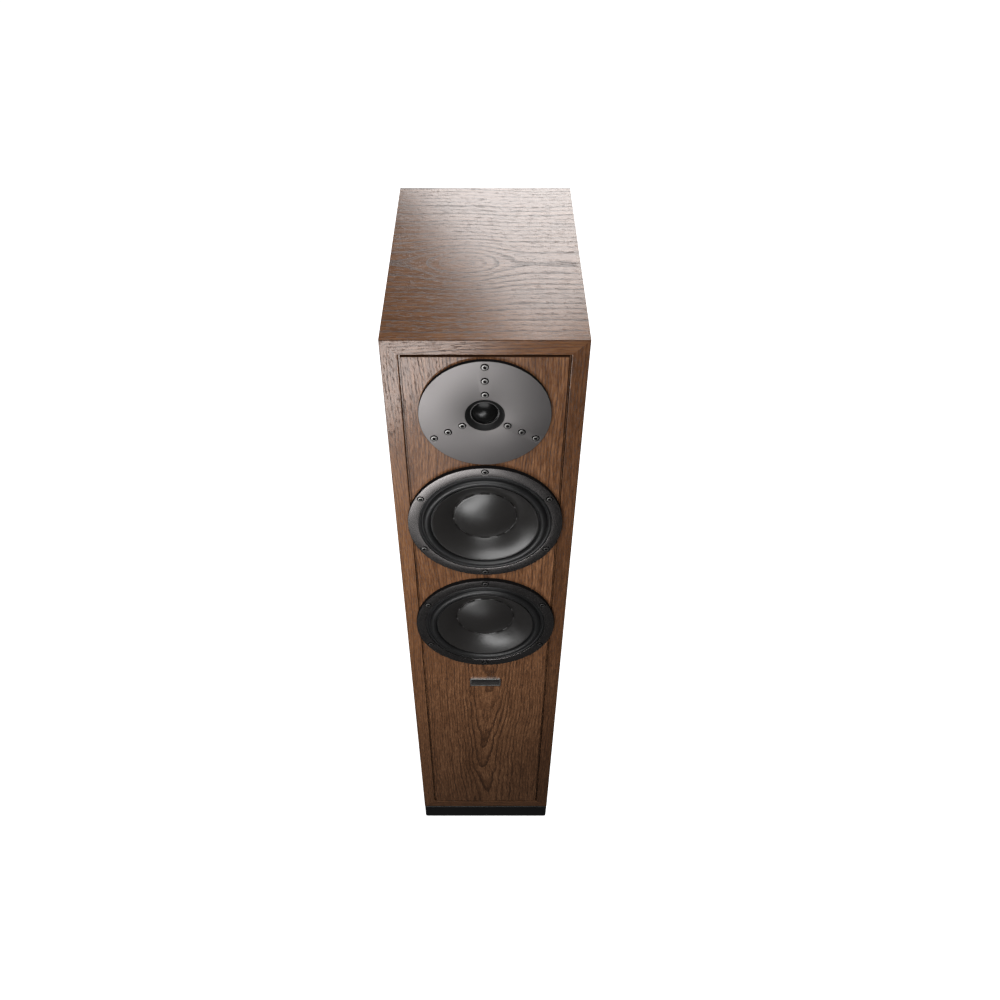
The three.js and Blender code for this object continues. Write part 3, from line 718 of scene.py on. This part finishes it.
def stud_rings(low, high, wheel):
    """A stud with a knurled finger wheel between the two heights of wheel, and a single thread above it."""
    wheel_low, wheel_high = wheel
    steps_a_turn = 6

    def knurl(z):
        return lambda angle: (WHEEL_RADIUS - 0.35 * (1 + math.cos(WHEEL_FLUTES * angle)), z)

    def thread(z):
        return lambda angle: (STUD_RADIUS - 0.3 * (1 + math.cos(angle - 2 * math.pi * z / FOOT_PITCH)), z)

    steps = int((high - wheel_high - 1) / FOOT_PITCH * steps_a_turn)
    threads = [thread(wheel_high + 0.2 + i * FOOT_PITCH / steps_a_turn) for i in range(steps)]
    return [
        (0, low), (STUD_RADIUS - 0.3, low), (STUD_RADIUS, low + 0.4), (STUD_RADIUS, wheel_low),
        (WHEEL_RADIUS - 1.2, wheel_low), knurl(wheel_low + 0.5), knurl(wheel_high - 0.5),
        (WHEEL_RADIUS - 1.2, wheel_high), (STUD_RADIUS - 0.6, wheel_high), *threads,
        (STUD_RADIUS - 0.7, high), (0, high),
    ]


add_plinth()
for foot_place in ("front_left", "front_right", "back_left", "back_right"):
    add_foot(foot_place)


# ---- Screws

HEAD_RADIUS = 3.3
HEAD_HEIGHT = 3.3
SHANK_RADIUS = 1.75
SOCKET_DEPTH = 1.2
HEX_FLAT = 1.75  # middle to flat
COUNTERBORE_RADIUS = 4.3
COUNTERBORE_DEPTH = 2.6
CLEARANCE_RADIUS = 2.1


def hexagon(scale, depth):
    def ring(angle):
        within = (angle % (math.pi / 3)) - math.pi / 6
        return HEX_FLAT * scale / math.cos(within), depth

    return ring


def screw(x, z, head_top, end, shank=SHANK_RADIUS, head_height=HEAD_HEIGHT):
    """A socket cap screw along +Y: a rim with a chamfer, a hexagon socket and a plain shank."""
    seat = head_top + head_height
    rings = [
        (0, head_top + SOCKET_DEPTH + 0.25), hexagon(0.35, head_top + SOCKET_DEPTH + 0.2),
        hexagon(1.0, head_top + SOCKET_DEPTH), hexagon(1.0, head_top + 0.12), hexagon(1.06, head_top),
        (HEAD_RADIUS - 0.55, head_top), (HEAD_RADIUS - 0.2, head_top + 0.08), (HEAD_RADIUS, head_top + 0.4),
        (HEAD_RADIUS, seat), (shank, seat), (shank, end - 1), (0.2, end), (0, end),
    ]
    return turned(rings, (x, 0, z), 36)


def add_screw(name, made, x, z, head_top, replaces=()):
    """Hangs a screw on the cabinet, and paints shade into its socket and onto the side of its head."""
    bolt = piece(name, made, DARK_STEEL, "cabinet", "screw_steel", replaces)

    def in_painted_shade(centre, _):
        from_axis = math.hypot(centre.x - x, centre.z - z)
        below = abs(centre.y - head_top)
        in_socket = from_axis < HEX_FLAT * 1.08 and 0.05 < below < SOCKET_DEPTH + 0.3
        return in_socket or from_axis > HEAD_RADIUS - 0.15

    # Painted shade in the socket and on the side of the head
    paint(bolt, BLACK_AND_SHADE, in_painted_shade)


def screw_bores(spots, face, end):
    """Cutters for the counterbore and the clearance hole of a screw at each (x, z) in spots."""
    bores = [drill(x, z, (face - 1, face + COUNTERBORE_DEPTH), COUNTERBORE_RADIUS, SMALL) for x, z in spots]
    holes = [drill(x, z, (face + 1, end), CLEARANCE_RADIUS) for x, z in spots]
    return bores + holes


def blacken_and_shade_recesses(made, spots, middle_x, middle_z, face, rim):
    """Paints the side of a round plate black, from the radius rim outwards, and the counterbores in its face.
    The side is partly its own black and partly painted shade, and the counterbores get painted shade.
    """

    def recessed(centre, _):
        from_middle = math.hypot(centre.x - middle_x, centre.z - middle_z)
        in_bore = any(math.hypot(centre.x - x, centre.z - z) < COUNTERBORE_RADIUS + 0.1 for x, z in spots)
        return from_middle > rim or (in_bore and centre.y > face + 0.2)

    paint(made, BLACK_AND_SHADE, recessed)


# ---- Tweeter

CLEAR = 0.05  # between a flange and the face that it rests on
PLATE_RADIUS = 69.6
SPIGOT_RADIUS = 53.7
SPIGOT_DEPTH = 8
FLARE_RADIUS = 21.0
FLARE_SEAT = 1.2
CAVITY_RADIUS = 24.0
MOUTH_RADIUS = 15.4
DOME_RADIUS = 14.0
DOME_EDGE = 1.6
DOME_HEIGHT = 6.2


def add_tweeter_plate(x, z, face):
    """The plate, and the nine cap screws in its counterbores."""
    front = face - FRONT
    profile = eased([
        (FLARE_RADIUS, front, 0.25), (PLATE_RADIUS, front, 0.35), (PLATE_RADIUS, -CLEAR),
        (SPIGOT_RADIUS, -CLEAR), (SPIGOT_RADIUS, SPIGOT_DEPTH), (CAVITY_RADIUS, SPIGOT_DEPTH),
        (CAVITY_RADIUS, FLARE_SEAT), (FLARE_RADIUS, FLARE_SEAT),
    ])
    plate = piece("anodised_tweeter_plate", turned(profile, (x, FRONT, z)), PLATE_GREY, "cabinet",
                  "tweeter_plate", ["tweeter_faceplate"])
    screws = [f"tweeter_screw_{i + 1}" for i in range(9)]
    spots = [(middle(name).x, middle(name).z) for name in screws]
    ends = [[corner.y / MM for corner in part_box(name)] for name in screws]
    subtract(plate, screw_bores(spots, face, ends[0][1] + 0.5))
    blacken_and_shade_recesses(plate, spots, x, z, face, PLATE_RADIUS - 0.4)
    for name, (screw_x, screw_z), (head, end) in zip(screws, spots, ends):
        add_screw(f"cap_{name}", screw(screw_x, screw_z, head, end), screw_x, screw_z, head, [name])


def add_flare(centre, front):
    """The black flare from the plate in to the dome, and the bright ring in its throat."""
    outer, mouth, seat = FLARE_RADIUS, MOUTH_RADIUS, CAVITY_RADIUS - 0.3
    horn = [
        (outer - 0.1, front + 0.25), (outer - 0.5, front + 0.3), (outer - 1.6, front + 0.75),
        (outer - 3.0, front + 1.6), (mouth + 1.2, front + 2.7), (mouth + 0.3, front + 3.4),
        (mouth, front + 3.7), (mouth, 0.4), (mouth + 2.6, 0.6), (mouth + 2.6, 3.4), (seat, 3.4), (seat, 1.5),
        (outer - 0.1, 1.5),
    ]
    piece("moulded_flare", turned(horn, centre), FLARE_BLACK, "cabinet", "flare_black",
          ["tweeter_flare_ring"])
    trim = eased([(mouth - 0.8, -0.5, 0.1), (mouth - 0.1, -0.5, 0.1), (mouth - 0.1, 0.1), (mouth - 0.8, 0.1)])
    piece("bright_throat_ring", turned(trim, centre), THROAT_STEEL, "cabinet", "tweeter_plate")


def add_dome(centre):
    """A soft dome with a small half roll round it."""
    steps, width, rise, setback, skin = 8, 3, 0.35, 0.16, 0.5
    roll = [
        (DOME_RADIUS + width * t, DOME_EDGE - rise * math.sin(math.pi * t) + setback * t)
        for t in (i / steps for i in range(1, steps + 1))
    ]
    front = cap(DOME_RADIUS, DOME_EDGE, DOME_HEIGHT, 20) + roll
    rings = front + [(radius, depth + skin) for radius, depth in reversed(front)]
    piece("coated_dome", turned(rings, centre, 96), DOME_CLOTH, "tweeter_moving", "dome_cloth",
          ["tweeter_diaphragm"])


def voice_coil(node, thickness, wire):
    """A coil of wire turns in the place of a plain ring along Y."""
    low, high = (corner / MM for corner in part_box(node))
    x, _, z = middle(node)
    outer = (high.x - low.x) / 2
    turns = int((high.y - low.y) / wire / 2)
    return turned(winding(outer, outer - thickness, low.y, high.y, turns, 0.12), (x, 0, z), SMALL)


def add_tweeter():
    x, _, z = middle("tweeter_faceplate")
    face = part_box("tweeter_faceplate")[0].y / MM
    centre = (x, FRONT, z)
    add_tweeter_plate(x, z, face)
    add_flare(centre, face - FRONT)
    add_dome(centre)
    for node, material, slot in (("tweeter_motor", MAGNET_STEEL, "motor_steel"),
                                 ("tweeter_rear_chamber", CAST_BLACK, "chamber_alloy")):
        piece(f"finished_{node}", from_cad(node, size=0.6), material, "cabinet", slot, [node])
    piece("wound_tweeter_voice_coil", voice_coil("tweeter_voice_coil", 0.7, 0.3), COIL_WIRE, "tweeter_moving",
          "coil_winding", ["tweeter_voice_coil"])


add_tweeter()


# ---- Woofers

FLANGE_RADIUS = 90.0
FLANGE_INNER = 77.8
BASKET_BORE = 47.3
SCREW_CIRCLE = 84.3
HEAD_PROUD = 0.9
BASKET_LEGS = 6
WINDOW_SIZE = (40, 23, 40)
WINDOW_PLACE = (0, 39, 66)
CONE_EDGE_RADIUS = 61.3
CONE_EDGE = -5.8
NECK_RADIUS = 37.4
NECK_DEPTH = 9.4
DOME_TOP = 1.7
SLOTS = 12
SLOT_ARC = 18  # degrees
SLOT_DEPTH = 1.3
SPIDER_INNER = 38.8
SPIDER_WIDTH = 28.0
SPIDER_DEPTH = 20.1
PLEAT = 0.8


def on_circle(radius, degrees):
    angle = math.radians(degrees)
    return radius * math.cos(angle), radius * math.sin(angle)


def basket_window(centre, degrees):
    """A rounded opening between two legs of the basket."""
    made = block(WINDOW_SIZE, (0, 0, 0))
    soften(made, list(made.edges), 5, 4)
    bmesh.ops.translate(made, vec=Vector(WINDOW_PLACE) * MM, verts=made.verts)
    bmesh.ops.rotate(made, matrix=Matrix.Rotation(math.radians(degrees), 3, "Y"), verts=made.verts)
    bmesh.ops.translate(made, vec=Vector(centre) * MM, verts=made.verts)
    return made


def add_basket(name, x, z, face):
    """The basket with its flange and legs, and the cap screws in the flange's counterbores."""
    front = face - FRONT
    centre = (x, FRONT, z)
    flange = [(FLANGE_INNER, front + 0.9), (FLANGE_INNER, front, 0.25), (FLANGE_RADIUS, front, 0.35),
              (FLANGE_RADIUS, -CLEAR), (74.4, -CLEAR)]
    outer_side = [(74.4, 12), (69.5, 24), (56, 58), (BASKET_BORE, 58)]
    inner_side = [(BASKET_BORE, 54.8), (51.6, 54.8), (62.8, 23.6), (62.8, 21.2), (67.2, 21.2), (71.4, 12),
                  (71.4, front + 2), (FLANGE_INNER, front + 2)]
    profile = eased(flange + outer_side + inner_side)
    basket = piece(f"cast_{name}_basket", turned(profile, centre), CAST_BLACK, "cabinet", "basket_alloy",
                   [f"{name}_basket"])
    step = 360 / BASKET_LEGS
    around = [on_circle(SCREW_CIRCLE, step * (i + 0.5)) for i in range(BASKET_LEGS)]
    spots = [(x + across, z + up) for across, up in around]
    windows = [basket_window(centre, step * i) for i in range(BASKET_LEGS)]
    subtract(basket, screw_bores(spots, face, FRONT + 1) + windows)
    blacken_and_shade_recesses(basket, spots, x, z, face, FLANGE_RADIUS - 0.45)
    head = face - HEAD_PROUD
    for i, (screw_x, screw_z) in enumerate(spots):
        made = screw(screw_x, screw_z, head, FRONT + 15)
        add_screw(f"cap_{name}_screw_{i + 1}", made, screw_x, screw_z, head)


def in_slot(angle):
    """How far a point lies in one of the slots round the dome, from 0 to 1, with short ramps at the ends."""
    step = 360 / SLOTS
    away = abs((math.degrees(angle) + step / 2) % step - step / 2)
    return min(1, max(0, (SLOT_ARC / 2 - away) / 1.2))


def cone_rings():
    """A cone and its centre dome in one piece, with a ring of short slots where they meet."""

    def dip(radius, depth, share):
        return lambda angle: (radius, depth + share * SLOT_DEPTH * in_slot(angle))

    dome = cap(NECK_RADIUS, NECK_DEPTH, NECK_DEPTH - DOME_TOP, 40)[:-2]
    edge = [
        dip(NECK_RADIUS - 1.1, NECK_DEPTH - 0.75, 0), dip(NECK_RADIUS - 0.9, NECK_DEPTH - 0.6, 1),
        dip(NECK_RADIUS, NECK_DEPTH, 1), dip(NECK_RADIUS + 0.5, NECK_DEPTH - 0.25, 1),
        dip(NECK_RADIUS + 0.7, NECK_DEPTH - 0.4, 0),
    ]
    run = CONE_EDGE_RADIUS - NECK_RADIUS
    fall = NECK_DEPTH - CONE_EDGE
    flare = [
        (NECK_RADIUS + run * t, NECK_DEPTH - fall * t - 1.4 * math.sin(math.pi * t))
        for t in (i / 16 for i in range(1, 17))
    ]
    rim = [(CONE_EDGE_RADIUS + 0.6, CONE_EDGE), (CONE_EDGE_RADIUS + 0.8, CONE_EDGE + 0.2)]
    back = [(CONE_EDGE_RADIUS + 0.8, CONE_EDGE + 1.0), (CONE_EDGE_RADIUS, CONE_EDGE + 1.3),
            (NECK_RADIUS + 1, NECK_DEPTH + 1.6), (NECK_RADIUS - 1, NECK_DEPTH + 1.6)]
    back_dome = cap(NECK_RADIUS - 1.5, NECK_DEPTH, NECK_DEPTH - DOME_TOP, 12)[:-1]
    return [*dome, *edge, *flare, *rim, *back, *((radius, depth + 1.2) for radius, depth in back_dome[::-1])]


def roll_profile(rise, skin):
    """Front or back of the half roll from the cone's rim out to the basket."""
    (start_radius, start_depth), (end_radius, end_depth) = (63.8, -5.0), (72.4, -4.6)
    steps = 18
    made = []
    for i in range(steps + 1):
        turn = math.pi * i / steps
        share = (1 - math.cos(turn)) / 2
        radius = start_radius + skin + (end_radius - start_radius - 2 * skin) * share
        base = start_depth + (end_depth - start_depth) * i / steps + skin
        made.append((radius, base - rise * math.sin(turn)))
    return made


def add_surround(name, x, z):
    """The rubber half roll, glued to the cone's rim inside and to the flange outside."""
    valley = [(60.7, -4.1), (62.3, -4.1), (63.4, -4.1)]
    bead = [(72.8, -4.0), (73.8, -4.0), (74.2, -4.6), (75.2, -5.15), (76.1, -5.15), (76.9, -4.5),
            (77.4, -4.45)]
    front = [*valley, *roll_profile(3.75, 0), *bead]
    back = [(77.4, -3.5), (72.9, -3.3), *roll_profile(3.0, 0.8)[::-1], (63.2, -3.4), (60.7, -3.4)]
    made = piece(f"rubber_{name}_surround", turned(front + back, (x, FRONT, z), 240), RUBBER, None,
                 "surround_rubber", [f"{name}_surround"])
    bend(made, f"{name}_moving", x, z, 62.5, 73.0)


def add_spider(name, x, z):
    """The pleated cloth ring that centres the voice coil."""
    steps, steps_a_pleat, skin = 48, 8, 0.6
    waves = [
        (SPIDER_INNER + SPIDER_WIDTH * i / steps,
         SPIDER_DEPTH - PLEAT + PLEAT * math.cos(2 * math.pi * i / steps_a_pleat))
        for i in range(steps + 1)
    ]
    rings = waves + [(radius, depth + skin) for radius, depth in waves[::-1]]
    made = piece(f"corrugated_{name}_spider", turned(rings, (x, FRONT, z), 96), SPIDER_CLOTH, None,
                 "spider_cloth", [f"{name}_spider"])
    bend(made, f"{name}_moving", x, z, 39.0, 64.0)


def bend(made, body, x, z, inner, outer):
    """A ring that follows the body at its inner edge and the cabinet at its outer edge."""
    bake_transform(made, "cabinet", body, start=(x * MM, 0, (z + outer) * MM), end=(x * MM, 0, (z + inner) * MM))
    weights = made.data.attributes["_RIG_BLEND"].data
    for vertex, weight in zip(made.data.vertices, weights):
        radius = math.hypot(vertex.co.x / MM - x, vertex.co.z / MM - z)
        share = min(1, max(0, (outer - radius) / (outer - inner)))
        weight.value = share * share * (3 - 2 * share)


def add_woofer(name):
    body = f"{name}_moving"
    x, _, z = middle(f"{name}_basket")
    add_basket(name, x, z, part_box(f"{name}_basket")[0].y / MM)
    add_surround(name, x, z)
    piece(f"pressed_{name}_cone", turned(cone_rings(), (x, FRONT, z), 360), CONE_BLACK, body, "cone_polymer",
          [f"{name}_cone"], sharp=40)
    add_spider(name, x, z)
    piece(f"wound_{name}_voice_coil", voice_coil(f"{name}_voice_coil", 1.8, 0.5), COIL_WIRE, body,
          "coil_winding", [f"{name}_voice_coil"])
    piece(f"finished_{name}_motor", from_cad(f"{name}_motor", size=1.0), MAGNET_STEEL, "cabinet",
          "motor_steel", [f"{name}_motor"])


for woofer in ("upper_woofer", "lower_woofer"):
    add_woofer(woofer)


# ---- Back

PORT_BORE = 33
PORT_RADIUS = 36
PORT_LENGTH = 140
PORT_FLANGE = 52
TERMINAL_SCREW_INSET = 7
TERMINAL_SHANK = 1.7
TERMINAL_HEAD = 1.9
KNOB_FLUTES = 12


def add_port():
    x, _, z = middle("port_tube")
    flare = [(PORT_BORE + 11 * t**2.2, -24 + 27 * t - 0.5 * t**6) for t in (i / 14 for i in range(15))]
    rings = [
        (PORT_BORE, -PORT_LENGTH), *flare, (44.8, 3.25), (50.5, 3.3), (51.6, 3.0), (PORT_FLANGE, 2.2),
        (PORT_FLANGE, CLEAR), (46.2, CLEAR), (46.2, -3), (38, -16), (PORT_RADIUS, -24),
        (PORT_RADIUS, -PORT_LENGTH),
    ]
    piece("moulded_port", turned(rings, (x, BACK, z), 128), PLASTIC, "cabinet", "port_plastic", ["port_tube"])


def add_terminal_plate():
    """The plate, and the screws at its four corners."""
    low, high = (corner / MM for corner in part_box("terminal_plate"))
    flat_face = high.y

    def outline(a, b):
        """An edge of the flat face, far enough out to be part of its outline and not of a hole."""
        far = max(abs(a.x), abs(b.x)) > 40 and close(a.y, flat_face) and close(b.y, flat_face)
        return far and (a - b).length > 0.5

    piece("moulded_terminal_plate", from_cad("terminal_plate", outline, 0.8, 3), PLASTIC, "cabinet",
          "terminal_plastic", ["terminal_plate"])
    head_top = flat_face + TERMINAL_HEAD + SEAM
    for i, (side, end) in enumerate(((-1, -1), (1, -1), (-1, 1), (1, 1))):
        x = side * ((high.x - low.x) / 2 - TERMINAL_SCREW_INSET)
        z = (low.z + high.z) / 2 + end * ((high.z - low.z) / 2 - TERMINAL_SCREW_INSET)
        made = screw(x, z, 0, 14, TERMINAL_SHANK, TERMINAL_HEAD)
        half_turn = Matrix.Rotation(math.pi, 3, "X")
        bmesh.ops.rotate(made, matrix=half_turn, cent=Vector((0, 0, z)) * MM, verts=made.verts)
        bmesh.ops.translate(made, vec=Vector((0, head_top, 0)) * MM, verts=made.verts)
        add_screw(f"cap_terminal_screw_{i + 1}", made, x, z, head_top)


def add_post(side, cap_material, cap_slot):
    """A binding post: the threaded stem, its clamp ring, and the knob that drives the ring."""
    x, _, z = middle(f"{side}_post_stem")
    centre = (x, BACK, z)
    thread = [(2.95 - 0.35 * (i % 2), 6.8 + 0.5 * i) for i in range(18)]
    stem = [(0, -18), (3.6, -18), (4, -17.5), (4, 3.6), (7.6, 3.6), (8, 4.0), (8, 6.2), (7.6, 6.6),
            (2.9, 6.6), *thread, (2.4, 16), (0, 16)]
    piece(f"plated_{side}_post_stem", turned(stem, centre, SMALL), GOLD, "cabinet", "post_brass",
          [f"{side}_post_stem"])
    ring = eased([(3.3, 6.9, 0.2), (8.5, 6.9, 0.3), (8.5, 9.4, 0.3), (3.3, 9.4, 0.2)])
    piece(f"plated_{side}_clamp_ring", turned(ring, centre, SMALL), GOLD, f"{side}_post_clamp", "post_brass",
          [f"{side}_post_clamp_ring"])

    def flute(radius, depth):
        return lambda angle: (radius - 0.45 * max(0, math.cos(KNOB_FLUTES * angle)) ** 2, depth)

    knob = [
        (3.3, 9.7), (8.4, 9.7), flute(9, 10.2), flute(9, 12), flute(9, 16), flute(9, 20.4), flute(8.7, 21.2),
        (8.0, 21.8), (7.2, 22), (2.6, 22), (2, 21.4), (2, 18), (3.3, 18),
    ]
    piece(f"fluted_{side}_knob", turned(knob, centre, 120), cap_material, f"{side}_post_nut", cap_slot,
          [f"{side}_post_knob"])


add_port()
add_terminal_plate()
add_post("left", RED_CAP, "knob_red")
add_post("right", BLACK_CAP, "knob_black")


# ---- Crossover and badge

INDUCTOR_BORE = 11
INDUCTOR_TURNS = 12
BADGE_RIM = 1.6
BADGE_SUNK = 0.3


def add_crossover():
    piece("hard_crossover_board", from_cad("crossover_board", size=0.5), FIBREBOARD, "cabinet",
          "crossover_board", ["crossover_board"])
    low, high = (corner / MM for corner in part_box("crossover_inductor"))
    x, y, _ = middle("crossover_inductor")
    profile = winding((high.x - low.x) / 2, INDUCTOR_BORE, low.z, high.z, INDUCTOR_TURNS, 0.5)
    piece("wound_inductor", turned(profile, (x, y, 0), SMALL, upright=True), COIL_WIRE, "cabinet",
          "inductor_copper", ["crossover_inductor"])
    low, high = (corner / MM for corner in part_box("crossover_capacitor"))
    x, _, z = middle("crossover_capacitor")
    radius = (high.z - low.z) / 2
    can = [(0, low.y), (radius - 2, low.y), (radius - 0.6, low.y + 0.6), (radius, low.y + 2),
           (radius, high.y - 2), (radius - 0.6, high.y - 0.6), (radius - 2, high.y), (0, high.y)]
    piece("wrapped_capacitor", turned(can, (x, 0, z), SMALL), FILM, "cabinet", "capacitor_film",
          ["crossover_capacitor"])


def add_badge():
    """A plain plate: a brushed rim round a dark sunk field, with nothing on it."""
    low, high = (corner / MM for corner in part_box("badge_plate"))
    x, _, z = middle("badge_plate")
    floor = low.y + BADGE_SUNK

    def front_rim(a, b):
        return close(a.y, low.y) and close(b.y, low.y)

    badge = piece("brushed_badge", from_cad("badge_plate", front_rim, 0.3, 2), BADGE_METAL, "cabinet",
                  "badge_metal", ["badge_plate"], sharp=None)
    field = (high.x - low.x - 2 * BADGE_RIM, BADGE_SUNK + 1, high.z - low.z - 2 * BADGE_RIM)
    subtract(badge, [block(field, (x, floor - (BADGE_SUNK + 1) / 2, z))])
    paint(badge, BADGE_FIELD, lambda centre, normal: normal.y < -0.9 and centre.y > low.y + BADGE_SUNK / 2)


add_crossover()
add_badge()


# ---- Floor and light

FLOOR_REACH = 30  # metres to each side
WORLD_STRENGTH = 0.045


def add_floor():
    """A floor that glows evenly white to the camera, and is unseen by the object's own light."""
    made = bmesh.new()
    bmesh.ops.create_grid(made, x_segments=1, y_segments=1, size=FLOOR_REACH)
    mesh = bpy.data.meshes.new("floor")
    made.to_mesh(mesh)
    made.free()
    nodes = Nodes("pale_floor", (0.9, 0.9, 0.9), 0.9)
    nodes.set("Emission Color", (1, 1, 1, 1))
    nodes.set("Emission Strength", 1.0)
    mesh.materials.append(nodes.material)
    floor = bpy.data.objects.new("floor", mesh)
    floor.visible_diffuse = False
    floor.visible_glossy = False
    bpy.context.scene.collection.objects.link(floor)


def softbox(name, at, aim, size, power, turn=0):
    """An area light at a point, facing another and turned by turn degrees on its axis. power is in watts."""
    data = bpy.data.lights.new(name, "AREA")
    data.shape = "RECTANGLE"
    data.size, data.size_y = size[0] * MM, size[1] * MM
    data.energy = power
    light = bpy.data.objects.new(name, data)
    light.location = Vector(at) * MM
    facing = (Vector(aim) - Vector(at)).to_track_quat("-Z", "Y")
    light.rotation_euler = (facing @ Quaternion((0, 0, 1), math.radians(turn))).to_euler()
    light.visible_camera = False
    bpy.context.scene.collection.objects.link(light)


def add_light():
    world = bpy.data.worlds.new("studio")
    world.use_nodes = True
    background = world.node_tree.nodes["Background"]
    background.inputs["Color"].default_value = (1, 1, 1, 1)
    background.inputs["Strength"].default_value = WORLD_STRENGTH
    bpy.context.scene.world = world
    softbox("back_softbox", (300, 2260, TOP + 790), (0, 0, TOP), (1200, 1200), 34, turn=40)
    softbox("front_softbox", (-150, FRONT - 500, 622), (-150, FRONT, 622), (480, 170), 2.1, turn=48)
    softbox("front_fill", (-120, FRONT - 800, 1700), (0, FRONT, 850), (1400, 800), 13.5)
    softbox("floor_card", (-640, FRONT - 1297, 5), (-640, FRONT - 1297, 500), (1340, 1020), 6.4)
    softbox("overhead", (620, 320, 1480), (0, 0, TOP), (500, 500), 4.6)


add_floor()
add_light()
bpy.context.scene.view_settings.view_transform = "Standard"
